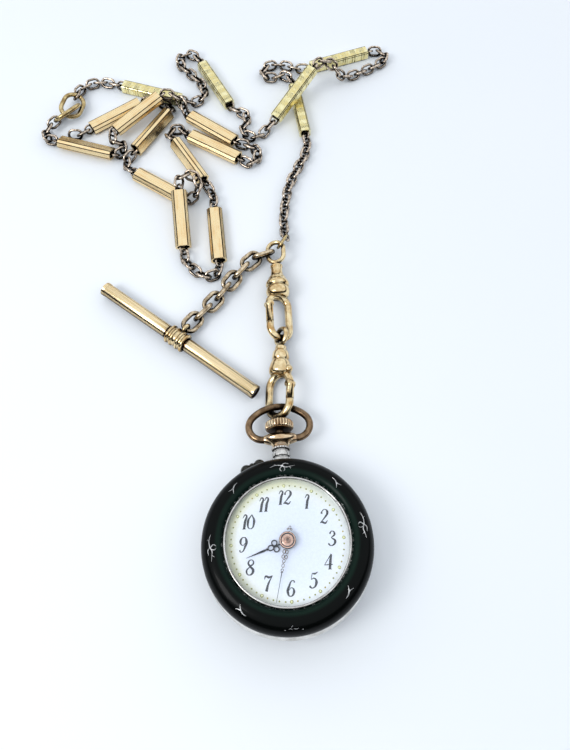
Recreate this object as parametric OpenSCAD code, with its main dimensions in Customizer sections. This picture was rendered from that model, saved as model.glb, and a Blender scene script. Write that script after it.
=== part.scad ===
// Lady's pendant watch on a bar-and-cable chain, laid flat on a table.
// Millimetres. X is to the right, Y runs from the watch toward the chain, Z is up.
// The origin is the centre of the small flat spot on which the domed back rests.

/* [View] */

/* [Case] */
// Radius of the domed back
dome_r = 38; // [30:1:60]
// Depth of the worn flat spot at the middle of the back
flat_sink = 0.05; // [0.02:0.01:0.1]
// How far the watch leans back on its dome, in degrees
lie_back = 5; // [0:0.5:6]
// How far the watch is turned on the table, in degrees
lie_turn = 4; // [-10:1:10]
// Radius of the movement space in the case band
band_bore_r = 12.6; // [12:0.1:13]
// Radius of the dial opening in the bezel
opening_r = 11.15; // [10.8:0.05:11.4]

/* [Dial and hands] */
// Radius of the dial
dial_r = 11.9; // [11:0.1:11.9]
// Where the hour hand points, in degrees clockwise from twelve
hour_turn = 252; // [0:1:359]
// Where the minute hand points, in degrees clockwise from twelve
minute_turn = 194.5; // [0:0.5:359]

/* [Pendant] */
// Radius of the bow's wire
bow_wire = 0.68; // [0.5:0.02:0.8]
// Height of the bow's top above its side arcs
bow_rise = 4; // [3:0.1:5]
// Radius of the winding crown
crown_r = 2.75; // [2:0.05:2.8]
// Number of flutes round the crown
crown_flutes = 22; // [12:1:30]

/* [Clips] */
// Radius of the hook wire of both clips
hook_wire = 0.78; // [0.6:0.02:0.8]
// Half the width of the lower clip's hook
low_half = 2.7; // [2.4:0.05:3]
// Half the width of the upper clip's hook
up_half = 2.34; // [2.1:0.02:2.6]
// Clearance of the hinge barrel at each gate's foot
gate_fit = 0.06; // [0.04:0.01:0.1]
// Radial clearance of each swivel pin
swivel_fit = 0.03; // [0.02:0.01:0.06]

/* [T-bar] */
// Length of the T-bar
tbar_len = 40.4; // [30:0.1:45]
// Radius of the T-bar
tbar_r = 1.45; // [1.2:0.05:1.6]
// Half the length of the thinner neck under the collar
tbar_neck = 2.7; // [2.4:0.1:4]

/* [Chain bars] */
// Length of a plain rose-coloured bar
rose_len = 13.5; // [12:0.1:15]
// Width of a plain bar over its edges
rose_w = 3.5; // [3:0.1:4]
// Thickness of a plain bar
rose_t = 2.4; // [2:0.1:3]
// Length of an engraved yellow bar
yellow_len = 15.5; // [14:0.1:17]
// Width of an engraved bar
yellow_w = 2.7; // [2.2:0.1:3]
// Thickness of an engraved bar
yellow_t = 2.5; // [2:0.1:2.6]

/* [Cable links] */
// Outer length of a small cable link
link_len = 3.8; // [3.4:0.05:4]
// Outer width of a small cable link
link_w = 2.8; // [2.5:0.05:3]
// Wire radius of a small cable link
link_wire = 0.27; // [0.24:0.01:0.3]
// Distance from joint to joint that the small links aim for
link_pitch = 2.13; // [2:0.01:2.3]
// Outer length of a link of the T-bar's chain
tlink_len = 5.4; // [5:0.1:5.8]
// Outer width of a link of the T-bar's chain
tlink_w = 3.8; // [3.4:0.1:4.2]
// Wire radius of a link of the T-bar's chain
tlink_wire = 0.5; // [0.4:0.02:0.55]

/* [Hidden] */
$fn = 96;
eps = 0.02;
// Height of the resting chain's middle line
tz = 1.3;
// Joint points lie this far beyond a bar's end face
eye_out = 1.25;
// Ring at each end of a bar: middle radius, wire radius, distance of its middle from the face
eye_r = 1.0;
eye_wire = 0.24;
eye_mid = 0.7;

silver = [0.72, 0.71, 0.69];
blackgreen = [0.05, 0.09, 0.08];
gold = [0.80, 0.66, 0.36];
paleGold = [0.86, 0.76, 0.52];
rose = [0.84, 0.66, 0.50];
roseDark = [0.55, 0.40, 0.32];
cream = [0.90, 0.88, 0.78];
blued = [0.10, 0.12, 0.22];
glassy = [0.85, 0.92, 0.95, 0.35];
bronze = [0.35, 0.28, 0.24];
steel = [0.62, 0.62, 0.60];

// One row for each bar: x, y, z of its middle, heading, rise, roll, 1 for an engraved bar,
// and the roll of the ring at its low and its high end.
bars = [
  [3.3, 101.5, 1.3, 100, 0, 0, 1, -45, -45],
  [13.7, 118.5, 1.3, 20, 0, 0, 1, -45, -45],
  [2, 103.6, 4.8, 52, 18, 0, 1, 45, -45],
  [-17.9, 109.9, 1.3, 119, 0, 0, 1, -45, -45],
  [-33.8, 107, 1.3, 163, 0, 0, 1, -45, -45],
  [-48.1, 89.2, 1.55, -16, 0, -25, 0, -45, -45],
  [-42.1, 99.4, 1.4, 36, 0, 0, 0, 45, -45],
  [-36.2, 98.1, 3.75, 42, 8, 0, 0, 45, -45],
  [-32.5, 94.1, 1.85, 59, 0, 70, 0, -45, -45],
  [-18.1, 95.3, 1.4, -35, 0, 0, 0, 45, -45],
  [-17.3, 89.6, 1.4, 150, 0, 0, 0, 45, -45],
  [-23, 84.9, 1.85, -57, 0, 65, 0, 45, -45],
  [-29.4, 77.9, 1.4, 148, 0, 0, 0, 45, -45],
  [-23.6, 67.6, 3.1, 97, 12, 0, 0, 45, -45],
  [-15.6, 64.5, 1.4, -83, 0, 0, 0, -45, -45]
];
// Names for the rows above
A = 0;
B1 = 1;
B2 = 2;
C = 3;
D = 4;
E = 5;
F = 6;
G = 7;
H = 8;
J = 9;
K = 10;
L = 11;
M = 12;
N = 13;
O = 14;

function dir(h, e) = [cos(h) * cos(e), sin(h) * cos(e), sin(e)];
function bar_len(b) = b[6] == 1 ? yellow_len : rose_len;
// The joint point beyond the low (s = -1) or high (s = 1) end of bar k
function tip(k, s) =
  let (b = bars[k])
  [b[0], b[1], b[2]] + s * (bar_len(b) / 2 + eye_out) * dir(b[3], b[4]);

// The stretches of small cable links, each from joint point to joint point.
// First the roll of the first link, then the points that the links follow.
runs = [
  [45, [[-0.2, 62.8, 2.8], [-0.4, 65.2, 1.6], [-0.6, 69, tz], [-0.2, 73, tz], [0.6, 78, tz],
    [2.4, 82.5, tz], [4.2, 86.6, tz], [5.1, 90, tz], tip(A, -1)]],
  [45, [tip(A, 1), [0.8, 112.3, tz], [-0.9, 113.2, tz], [-2.8, 112.3, tz], [-4.8, 112.2, tz],
    [-6, 113.9, tz], [-5.2, 115.9, tz], [-3.2, 116.7, tz], [-1, 116.6, tz], [1, 116, tz],
    [3, 115.3, tz], tip(B1, -1)]],
  [45, [tip(B1, 1), [24.2, 121.6, tz], [25.8, 120, tz], [25.2, 117.9, tz], [23.4, 116.5, tz],
    [21.4, 115.3, tz], [19.4, 114.2, tz], [17.4, 113.2, tz], [15.5, 112.3, 1.5],
    [13.9, 111.6, 2.7], [12.8, 111.4, 4.4], [11.6, 112, 6], [9.6, 112.4, 7.2], tip(B2, 1)]],
  [45, [tip(B2, -1), [-4.8, 95, 1.5], [-6.2, 93.2, tz], [-8.2, 92.6, tz], [-10, 93.6, tz],
    [-10.6, 95.6, tz], [-9.6, 97.6, tz], [-9.7, 99.6, tz], [-11.4, 100.6, tz], tip(C, -1)]],
  [45, [tip(C, 1), [-23.6, 119.8, tz], [-25.6, 120.6, tz], [-27.4, 119.4, tz],
    [-27.6, 117.2, tz], [-26.4, 115.4, tz], [-24.8, 113.9, tz], [-23.3, 112.2, tz],
    [-21.8, 110.5, tz], [-20.8, 108.5, tz], [-20.6, 106.3, tz], [-21.6, 104.5, tz],
    [-23.4, 103.6, tz], tip(D, -1)]],
  [45, [tip(D, 1), [-44.6, 110.2, tz], [-46.8, 110.6, tz], [-49, 110.2, tz],
    [-51, 109.1, tz], [-52.4, 107, 1.6], [-52.35, 104.8, 2.3]]],
  [-45, [[-55.9, 97.1, 2.7], [-57.6, 95.6, 2.1], [-58.6, 93.6, tz], [-57.7, 91.9, tz],
    tip(E, -1)]],
  [45, [tip(E, 1), [-38.95, 88.5, tz], [-39.7, 90.6, tz], [-41.9, 91, 2], tip(G, -1)]],
  [45, [tip(G, 1), [-28, 103.4, 4.6], [-26.2, 102.5, 3.6], [-25.2, 100.9, 2.4], tip(J, -1)]],
  [45, [tip(J, 1), [-9.5, 90.2, tz], [-7.6, 89.2, tz], [-6.6, 87.3, tz], [-7.2, 85.5, tz],
    [-8.9, 84.6, tz], tip(K, -1)]],
  [45, [tip(K, 1), [-25.8, 95.3, tz], [-27.85, 94.9, tz], [-28.6, 93.1, tz], tip(L, -1)]],
  [45, [tip(L, 1), [-17.5, 76.6, tz], [-16.8, 74.6, tz], tip(O, -1)]],
  [45, [tip(O, 1), [-14.8, 54.7, tz], [-16.4, 53.7, tz], [-18.4, 54.2, tz],
    [-20.1, 55.5, tz], [-21.6, 57, tz], [-22.5, 58.4, tz], tip(N, -1)]],
  [45, [tip(N, 1), [-24.4, 77.6, 5], [-22.5, 79, 4.6], [-20.3, 77.9, 4.2],
    [-20.3, 75.4, 2.8], tip(M, -1)]],
  [45, [tip(M, 1), [-37.7, 83.5, tz], [-38, 85.6, tz], tip(H, -1)]],
  [45, [tip(H, 1), [-28.9, 102.5, tz], [-30.8, 103.4, tz], [-33.2, 103.9, tz], tip(F, 1)]],
  [45, [tip(F, -1), [-50.4, 93.4, tz], [-52.4, 93.5, tz]]]
];
// The T-bar's chain, from its collar to the upper clip's eye
trun = [[-20.6, 41.2, 2.1], [-17.9, 44.5, 1.85], [-14.8, 48.1, 1.85], [-11.6, 52.7, 1.85],
  [-8.8, 56.3, 1.85], [-6.5, 58.4, 1.95], [-3.54, 59.4, 2.15]];

// A smooth line through the points, ten short steps for each stretch
function seg(a, b, c, d, t) =
  0.5 * (2 * b + (c - a) * t + (2 * a - 5 * b + 4 * c - d) * t * t
    + (3 * b - a - 3 * c + d) * t * t * t);
function smooth(p) =
  let (n = len(p))
  concat([for (i = [0:n - 2], k = [0:9])
    seg(p[max(i - 1, 0)], p[i], p[i + 1], p[min(i + 2, n - 1)], k / 10)], [p[n - 1]]);
function lengths(p) = [for (i = 0, s = 0; i < len(p);
  s = s + (i + 1 < len(p) ? norm(p[i + 1] - p[i]) : 0), i = i + 1) s];
// The point at distance s along line p, whose running lengths are d
function along(p, d, s, i = 1) =
  i >= len(p) - 1 || d[i] >= s
    ? p[i - 1] + (p[i] - p[i - 1]) * min(1, (s - d[i - 1]) / (d[i] - d[i - 1]))
    : along(p, d, s, i + 1);
function joints(route, pitch) =
  let (p = smooth(route), d = lengths(p), total = d[len(d) - 1])
  let (n = max(1, round(total / pitch)))
  [for (k = [0:n]) along(p, d, total * k / n)];

// Moves children from a line along X to the line from a to b, turned by roll about it
module lay(a, b, roll) {
  v = b - a;
  h = atan2(v.y, v.x);
  e = asin(v.z / norm(v));
  translate((a + b) / 2) rotate([roll, -e, h]) children();
}

// An oval link lying in the XY plane with its length along X
module oval(len, w, r) {
  m = w / 2 - r;
  s = (len - w) / 2;
  for (k = [0, 180])
    rotate([0, 0, k])
      translate([s, 0, 0]) rotate([0, 0, -90]) rotate_extrude(angle = 180, $fn = 48)
        translate([m, 0]) circle(r = r, $fn = 24);
  for (k = [-1, 1])
    translate([-s - eps / 4, k * m, 0]) rotate([0, 90, 0])
      cylinder(r = r, h = 2 * s + eps / 2, $fn = 24);
}

module ring(m, r) {
  rotate_extrude($fn = 64) translate([m, 0]) circle(r = r, $fn = 32);
}

// The watch's own frame: its back's lowest point at the origin and its axis along Z
module at_watch() {
  translate([0, 0, dome_r - flat_sink]) rotate([0, 0, lie_turn]) rotate([-lie_back, 0, 0])
    translate([0, 0, -dome_r]) children();
}

module above_table() {
  intersection() {
    children();
    translate([-20, -20, 0]) cube([40, 60, 30]);
  }
}

module case_back() color(silver) above_table() at_watch() {
  difference() {
    rotate_extrude() intersection() {
      union() {
        intersection() {
          translate([0, dome_r]) circle(r = dome_r, $fn = 360);
          square([13.6, 3.2]);
        }
        translate([13.6, 3.55]) circle(r = 1);
      }
      square([15, 3.2]);
    }
    intersection() {
      translate([0, 0, dome_r]) sphere(r = dome_r - 0.7, $fn = 360);
      translate([0, 0, 0.1]) cylinder(r = 12.6, h = 6);
    }
  }
}

module case_band() color(silver) at_watch() {
  difference() {
    rotate_extrude() difference() {
      union() {
        translate([12.6, 3.2]) square([1.1, 2.9]);
        intersection() {
          translate([13.1, 4.4]) circle(r = 2);
          translate([12.6, 3.2]) square([4, 2.9]);
        }
      }
      translate([0, 3]) square([band_bore_r, 4]);
    }
    translate([0, 12, 5]) rotate([-90, 0, 0]) cylinder(r = 0.92, h = 4);
    rotate([0, 0, 110.5]) translate([12, 0, 5.2]) rotate([0, 90, 0])
      cylinder(r = 0.48, h = 4);
  }
}

module bezel() color(blackgreen) at_watch() {
  rotate_extrude() difference() {
    intersection() {
      translate([12.3, 7.4]) circle(r = 2.7);
      translate([opening_r, 6.1]) square([5, 5]);
    }
    translate([0, 6]) square([12.6, 1.25]);
    translate([0, 7.2]) square([12, 0.8]);
    polygon([[11, 9.35], [opening_r, 9.35], [12.1, 10.12], [12.1, 11], [11, 11]]);
  }
}

module bezel_ring() color(silver) at_watch() {
  rotate_extrude() {
    translate([10.7, 8.8]) square([0.4, 0.5]);
    translate([10.9, 9.3]) circle(r = 0.2, $fn = 24);
  }
}

module crystal() color(glassy) at_watch() {
  intersection() {
    difference() {
      translate([0, 0, 9.95 - 76]) sphere(r = 76, $fn = 360);
      translate([0, 0, 9.45 - 75.5]) sphere(r = 75.5, $fn = 360);
    }
    translate([0, 0, 8.5]) cylinder(r = 10.66, h = 2);
  }
}

module movement() color(gold) at_watch() {
  translate([0, 0, 3]) cylinder(r = 12.4, h = 4.2);
  translate([0, 0, 7]) cylinder(r = 0.42, h = 2.2, $fn = 32);
}

module dial() color(cream) at_watch() {
  difference() {
    translate([0, 0, 7.2]) cylinder(r = dial_r, h = 0.7);
    translate([0, 0, 7]) cylinder(r = 0.7, h = 2);
  }
}

module hand_ring(x, y, r, w) {
  translate([x, y]) difference() {
    circle(r = r, $fn = 36);
    circle(r = r - w, $fn = 36);
  }
}

module hour_hand() color(blued) at_watch() rotate([0, 0, -hour_turn]) {
  translate([0, 0, 8.1]) difference() {
    linear_extrude(0.15) {
      circle(r = 1.05);
      translate([-0.11, 0.9]) square([0.22, 4]);
      for (s = [-1, 1]) {
        hand_ring(s * 0.55, 2.5, 0.62, 0.24);
        hand_ring(s * 0.35, 3.4, 0.38, 0.18);
      }
      translate([0, 4.2]) circle(r = 0.3, $fn = 24);
      polygon([[-0.14, 4.1], [0.14, 4.1], [0.3, 5.2], [0, 7.7], [-0.3, 5.2]]);
    }
    translate([0, 0, -1]) cylinder(r = 0.45, h = 2, $fn = 32);
  }
}

module minute_hand() color(gold) at_watch() rotate([0, 0, -minute_turn]) {
  difference() {
    union() {
      translate([0, 0, 8.42]) cylinder(r = 1.28, h = 0.43);
      translate([0, 0, 8.42]) linear_extrude(0.15) {
        translate([-0.1, -2.2]) square([0.2, 8]);
        for (s = [-1, 1]) {
          hand_ring(s * 0.5, 2, 0.55, 0.2);
          hand_ring(s * 0.52, 3.1, 0.6, 0.2);
          hand_ring(s * 0.4, 4.2, 0.45, 0.18);
          hand_ring(s * 0.28, 5, 0.3, 0.15);
        }
        polygon([[-0.1, 5.3], [-0.2, 6.3], [0, 10.2], [0.2, 6.3], [0.1, 5.3]]);
        hand_ring(0, -1.75, 0.3, 0.15);
        polygon([[0, -2], [-0.3, -2.35], [0, -2.75], [0.3, -2.35]]);
      }
    }
    translate([0, 0, 8]) cylinder(r = 0.45, h = 2, $fn = 32);
  }
}

module push_guard() color(steel) at_watch() rotate([0, 0, 110.5]) {
  difference() {
    union() {
      for (s = [-1, 1])
        translate([15.45, s * 1.3, 5.2]) sphere(r = 1.15, $fn = 48);
      translate([14.6, -1.3, 4.5]) cube([1.5, 2.6, 1.4]);
    }
    translate([0, 0, 3]) cylinder(r = 15.12, h = 4, $fn = 360);
    translate([12, 0, 5.2]) rotate([0, 90, 0]) cylinder(r = 0.48, h = 5, $fn = 36);
    translate([15.6, 0, 5.2]) rotate([0, 90, 0]) cylinder(r = 0.6, h = 5, $fn = 36);
  }
}

module push_piece() color(steel) at_watch() rotate([0, 0, 110.5]) {
  translate([13.2, 0, 5.2]) rotate([0, 90, 0]) cylinder(r = 0.45, h = 3, $fn = 36);
  translate([16.2, 0, 5.2]) rotate([0, 90, 0]) cylinder(r1 = 0.45, r2 = 0.3, h = 0.2, $fn = 36);
}

module pendant_neck() color(silver) at_watch() {
  difference() {
    translate([0, 0, 5]) rotate([-90, 0, 0]) {
      translate([0, 0, 12.7]) cylinder(r = 0.9, h = 3);
      translate([0, 0, 15.15]) cylinder(r = 1.75, h = 0.75);
      translate([0, 0, 15.8]) cylinder(r = 1.25, h = 3);
      translate([0, 0, 16.2]) cylinder(r = 1.45, h = 1);
      for (k = [0:17])
        rotate([0, 0, k * 20]) translate([1.28, 0, 17.8]) sphere(r = 0.3, $fn = 16);
      translate([0, 0, 18.4]) cylinder(r1 = 1.3, r2 = 1, h = 1.2);
      translate([0, 0, 19]) cylinder(r = 0.9, h = 2.2);
      translate([0, 0, 20]) cylinder(r = 0.57, h = 3);
    }
    translate([-3.2, 20, 5]) rotate([0, 90, 0]) cylinder(r = 0.33, h = 0.75, $fn = 32);
    translate([2.45, 20, 5]) rotate([0, 90, 0]) cylinder(r = 0.33, h = 0.75, $fn = 32);
  }
  difference() {
    translate([0, 20, 5]) rotate([0, 90, 0]) rotate_extrude() intersection() {
      translate([-6.59, 0]) circle(r = 7.94, $fn = 200);
      translate([0, -3.1]) square([3, 6.2]);
    }
    for (s = [-1, 1])
      translate([s * 2.8, 20, 5]) rotate([0, 90, 0])
        cylinder(r = 0.33, h = 0.8, center = true, $fn = 32);
  }
}

module crown() color(gold) at_watch() translate([0, 21.4, 5]) rotate([-90, 0, 0]) {
  difference() {
    rotate_extrude() polygon([[0, 0], [2.3, 0], [2.6, 0.15], [crown_r, 0.5], [crown_r, 1.1],
      [2.65, 1.6], [2.35, 2.0], [1.8, 2.3], [1.1, 2.45], [0, 2.5]]);
    translate([0, 0, -0.1]) cylinder(r = 0.6, h = 1.85);
    for (k = [0:crown_flutes - 1])
      rotate([0, 0, k * 360 / crown_flutes]) translate([2.85, 0, -0.1])
        cylinder(r = 0.3, h = 2.8, $fn = 16);
  }
}

module bow() color(roseDark) at_watch() translate([0, 20, 5]) rotate([-1.3, 0, 0]) {
  k = bow_rise - 2.7;
  d = (3.2 * 3.2 - k * k) / (2 * k);
  lean = atan2(d, 3.2);
  for (s = [0, 1]) mirror([s, 0, 0]) {
    translate([3.2, 2.7, 0]) rotate([0, 0, -90]) rotate_extrude(angle = 90 + lean, $fn = 96)
      translate([2.7, 0]) circle(r = bow_wire, $fn = 32);
    translate([2.65, 0, 0]) rotate([0, 90, 0]) cylinder(r = 0.3, h = 0.6, $fn = 32);
    translate([3.14, 0, 0]) rotate([0, 90, 0]) cylinder(r = bow_wire, h = 0.08, $fn = 32);
  }
  translate([0, 2.7 - d, 0]) rotate([0, 0, lean]) rotate_extrude(angle = 180 - 2 * lean,
    $fn = 180) translate([d + bow_rise, 0]) circle(r = bow_wire, $fn = 32);
}

// A clip's frame: u runs along -Y from the end of its body to the tip of its hook
module at_low() translate([-1.25, 30.28, 2.58]) rotate([0, 0, -1.4]) children();
module at_up() translate([-1.71, 47.86, 2.66]) rotate([0, 0, 3.1]) children();

// The open hook: an oval of wire with a gap on its +X side where the gate sits.
// v is half its width, f the foot of the gate, t its tip, e the end of the oval's side
module hook(v, e, f, t) {
  translate([0, 0.3 - v, 0]) rotate_extrude(angle = 180, $fn = 96)
    translate([v, 0]) circle(r = hook_wire, $fn = 48);
  translate([0, -e, 0]) rotate([0, 0, 180]) rotate_extrude(angle = 180, $fn = 96)
    translate([v, 0]) circle(r = hook_wire, $fn = 48);
  translate([-v, 0.3 - v + eps / 4, 0]) rotate([90, 0, 0])
    cylinder(r = hook_wire, h = e + 0.3 - v + eps / 2, $fn = 48);
  translate([v, -t - 0.12, 0]) rotate([90, 0, 0])
    cylinder(r = hook_wire, h = e - t - 0.12 + eps / 4, $fn = 48);
}

// The gate: a hinge barrel at its foot and a plain tip
module gate(v, f, t) {
  translate([v, -f, 0]) {
    cylinder(r = hook_wire + 0.02, h = 1.5, center = true, $fn = 64);
    rotate([90, 0, 0]) cylinder(r = hook_wire, h = t - f);
  }
}

module clip_body_turned(profile) {
  rotate([-90, 0, 0]) rotate_extrude() polygon(profile);
}

low_roll = -40.9;
low_e = 5.86;
low_f = 2.4;
low_t = 5.4;
up_roll = 212;
up_e = 7.06;
up_f = 2.04;
up_t = 6;

module lower_clip_body() color(gold) at_low() {
  difference() {
    union() {
      clip_body_turned([[0, 0], [1.7, 0], [2.0, 0.12], [2.25, 0.5], [2.3, 1.0], [2.25, 1.5],
        [2.1, 2.1], [1.95, 2.6], [1.8, 3.0], [1.55, 3.2], [1.55, 3.35], [1.7, 3.5],
        [1.75, 3.9], [1.7, 4.4], [1.6, 4.9], [1.4, 5.25], [1.2, 5.4], [1.15, 6.0],
        [1.1, 6.3], [0.6, 6.4], [0, 6.4]]);
      rotate([0, low_roll, 0]) {
        hook(low_half, low_e, low_f, low_t);
        translate([2.25, 0.9, 0]) sphere(r = 0.8, $fn = 48);
      }
    }
    translate([0, 2.7, 0]) rotate([-90, 0, 0])
      cylinder(r = 0.5 + swivel_fit, h = 5, $fn = 48);
    rotate([0, low_roll, 0]) translate([low_half, -low_f, 0])
      cylinder(r = hook_wire + 0.02 + gate_fit, h = 1.66, center = true, $fn = 64);
  }
}

module lower_gate() color(gold) at_low() rotate([0, low_roll, 0])
  gate(low_half, low_f, low_t);

module lower_eye() color(gold) at_low() {
  translate([0, 8.56, 0]) rotate([0, -54.4, 0]) ring(1.7, 0.48);
  translate([0, 2.9, 0]) rotate([-90, 0, 0]) cylinder(r = 0.5, h = 4, $fn = 48);
}

module upper_clip_body() color(gold) at_up() {
  difference() {
    union() {
      clip_body_turned([[0, 0], [1.6, 0], [1.95, 0.15], [2.3, 0.5], [2.45, 1.0], [2.5, 1.6],
        [2.4, 2.1], [2.15, 2.35], [2.1, 2.5], [2.35, 2.65], [2.5, 3.0], [2.45, 3.5],
        [2.25, 3.9], [2.0, 4.2], [1.85, 4.4], [1.9, 4.55], [1.75, 4.75], [1.5, 5.2],
        [1.3, 5.8], [1.2, 6.5], [1.2, 7.3], [1.35, 7.5], [1.35, 7.75], [1.2, 7.9], [0, 7.9]]);
      rotate([0, up_roll, 0]) hook(up_half, up_e, up_f, up_t);
    }
    translate([0, 4.6, 0]) rotate([-90, 0, 0])
      cylinder(r = 0.5 + swivel_fit, h = 5, $fn = 48);
    rotate([0, up_roll, 0]) translate([up_half, -up_f, 0])
      cylinder(r = hook_wire + 0.02 + gate_fit, h = 1.66, center = true, $fn = 64);
  }
}

module upper_gate() color(gold) at_up() rotate([0, up_roll, 0])
  gate(up_half, up_f, up_t);

module upper_eye() color(gold) at_up() {
  translate([0, 11.3, 0]) rotate([0, -13.6, 0]) rotate([0, 0, 90]) oval(6, 4.5, 0.5);
  translate([0, 4.8, 0]) rotate([-90, 0, 0]) cylinder(r = 0.5, h = 4, $fn = 48);
}

// The T-bar's frame: the bar along X
module at_tbar() translate([-22.45, 38.6, 2.1]) rotate([0, 0, -35.8]) children();

// The bar is a little thinner where the collar grips it
module toggle_bar() color(paleGold) at_tbar() rotate([0, 90, 0]) {
  n = tbar_len / 2;
  rotate_extrude() polygon([[0, -n], [tbar_r, -n], [tbar_r, -tbar_neck], [tbar_r - 0.2, -tbar_neck],
    [tbar_r - 0.2, tbar_neck], [tbar_r, tbar_neck], [tbar_r, n], [0, n]]);
}

module toggle_collar() color(gold) at_tbar() {
  difference() {
    union() {
      rotate([0, 90, 0]) cylinder(r = 1.8, h = 4.3, center = true);
      for (x = [-1.85, -0.75, 0.75, 1.85])
        translate([x, 0, 0]) rotate([0, 90, 0]) ring(1.75, 0.3);
      rotate([0, 0, 90]) translate([2.6, 0, 0]) rotate([90, 0, 0]) ring(0.95, 0.4);
    }
    rotate([0, 90, 0]) cylinder(r = tbar_r + 0.03, h = 6, center = true);
  }
}

module toggle_chain() color(gold) {
  p = joints(trun, 3.2);
  for (i = [0:len(p) - 2])
    lay(p[i], p[i + 1], i % 2 == 0 ? 20.9 : 110.9) oval(tlink_len, tlink_w, tlink_wire);
}

module start_ring() color(gold) lay([-1.29, 60.94, 3.02], [-0.5, 62.4, 3], -70)
  oval(4, 2.9, 0.3);

module cable_links() color(bronze) {
  for (r = runs) {
    p = joints(r[1], link_pitch);
    for (i = [0:len(p) - 2])
      lay(p[i], p[i + 1], i % 2 == 0 ? r[0] : (r[0] > 0 ? r[0] - 90 : r[0] + 90))
        oval(link_len, link_w, link_wire);
  }
}

module oval_ring_1() color(gold) translate([-53.04, 101.94, 2.28]) rotate([20, 0, 78])
  oval(7.9, 5.8, 0.55);

module oval_ring_2() color(gold) translate([-53.8, 99.2, 2.7]) rotate([-50, 0, 45])
  oval(7.9, 5.8, 0.55);

module rose_section(inset) {
  w = rose_w / 2 - inset;
  t = rose_t / 2 - inset;
  c = 0.62;
  polygon([[w, t - c], [w - c, t], [c - w, t], [-w, t - c], [-w, c - t], [c - w, -t],
    [w - c, -t], [w, c - t]]);
}

module yellow_section(inset) {
  w = yellow_w / 2 - inset;
  t = yellow_t / 2 - inset;
  c = 0.3;
  polygon([[w, t - c], [w - c, t], [c - w, t], [-w, t - c], [-w, c - t], [c - w, -t],
    [w - c, -t], [w, c - t]]);
}

// A hollow-looking bar with a recess and a small ring at each end
module chain_bar(k) {
  b = bars[k];
  n = bar_len(b);
  translate([b[0], b[1], b[2]]) rotate([0, -b[4], b[3]]) {
    rotate([b[5], 0, 0]) difference() {
      rotate([90, 0, 90]) translate([0, 0, -n / 2]) linear_extrude(n) {
        if (b[6] == 1) yellow_section(0);
        else rose_section(0);
      }
      for (s = [-1, 1])
        rotate([90, 0, 90]) translate([0, 0, s * (n / 2 + 0.25) - 0.75]) linear_extrude(1.5) {
          if (b[6] == 1) yellow_section(0.4);
          else rose_section(0.4);
        }
    }
    rotate([b[7], 0, 0]) translate([-n / 2 - eye_mid, 0, 0]) ring(eye_r, eye_wire);
    rotate([b[8], 0, 0]) translate([n / 2 + eye_mid, 0, 0]) ring(eye_r, eye_wire);
  }
}

module yellow_bar_1() color(paleGold) chain_bar(A);
module yellow_bar_2() color(paleGold) chain_bar(B1);
module yellow_bar_3() color(paleGold) chain_bar(B2);
module yellow_bar_4() color(paleGold) chain_bar(C);
module yellow_bar_5() color(paleGold) chain_bar(D);
module rose_bar_1() color(rose) chain_bar(E);
module rose_bar_2() color(rose) chain_bar(F);
module rose_bar_3() color(rose) chain_bar(G);
module rose_bar_4() color(rose) chain_bar(H);
module rose_bar_5() color(rose) chain_bar(J);
module rose_bar_6() color(rose) chain_bar(K);
module rose_bar_7() color(rose) chain_bar(L);
module rose_bar_8() color(rose) chain_bar(M);
module rose_bar_9() color(rose) chain_bar(N);
module rose_bar_10() color(rose) chain_bar(O);

case_back();
case_band();
bezel();
bezel_ring();
crystal();
movement();
dial();
hour_hand();
minute_hand();
push_guard();
push_piece();
pendant_neck();
crown();
bow();
lower_clip_body();
lower_gate();
lower_eye();
upper_clip_body();
upper_gate();
upper_eye();
toggle_bar();
toggle_collar();
toggle_chain();
start_ring();
cable_links();
oval_ring_1();
oval_ring_2();
yellow_bar_1();
yellow_bar_2();
yellow_bar_3();
yellow_bar_4();
yellow_bar_5();
rose_bar_1();
rose_bar_2();
rose_bar_3();
rose_bar_4();
rose_bar_5();
rose_bar_6();
rose_bar_7();
rose_bar_8();
rose_bar_9();
rose_bar_10();
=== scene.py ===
import bpy, bmesh, math
from mathutils import Matrix, Vector


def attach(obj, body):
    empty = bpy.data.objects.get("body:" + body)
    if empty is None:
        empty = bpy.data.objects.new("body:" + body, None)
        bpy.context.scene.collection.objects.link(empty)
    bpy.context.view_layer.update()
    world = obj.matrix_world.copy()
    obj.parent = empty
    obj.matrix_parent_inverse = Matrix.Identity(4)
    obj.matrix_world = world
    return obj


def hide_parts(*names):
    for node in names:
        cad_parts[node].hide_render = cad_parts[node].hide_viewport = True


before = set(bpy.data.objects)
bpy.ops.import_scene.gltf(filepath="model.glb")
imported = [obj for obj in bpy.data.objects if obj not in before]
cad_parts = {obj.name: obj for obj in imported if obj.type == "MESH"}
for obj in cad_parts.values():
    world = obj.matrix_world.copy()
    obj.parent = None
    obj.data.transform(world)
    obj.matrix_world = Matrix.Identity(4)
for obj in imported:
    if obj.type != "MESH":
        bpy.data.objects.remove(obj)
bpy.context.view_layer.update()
rad = math.radians
metre = 0.001  # sizes below are in millimetres, and only the camera, lamp and table top are in metres
toMetres = Matrix.Scale(metre, 4)
chainBody = "watch_and_chain"

# the watch leans back on its dome and is turned a little on the table
watchLean = {"height": 37.95, "turn": 4, "lean": -5, "dome": 38}
watchSpace = (Matrix.Translation((0, 0, watchLean["height"]))
              @ Matrix.Rotation(rad(watchLean["turn"]), 4, "Z")
              @ Matrix.Rotation(rad(watchLean["lean"]), 4, "X")
              @ Matrix.Translation((0, 0, -watchLean["dome"])))
watchPlace = toMetres @ watchSpace
toWatch = watchPlace.inverted()


def newObject(name, data):
    made = bpy.data.objects.new(name, data)
    bpy.context.scene.collection.objects.link(made)
    return made


# a mesh made of a shape, which is then free
def meshOf(shape, name):
    mesh = bpy.data.meshes.new(name)
    shape.to_mesh(mesh)
    shape.free()
    return mesh


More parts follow.
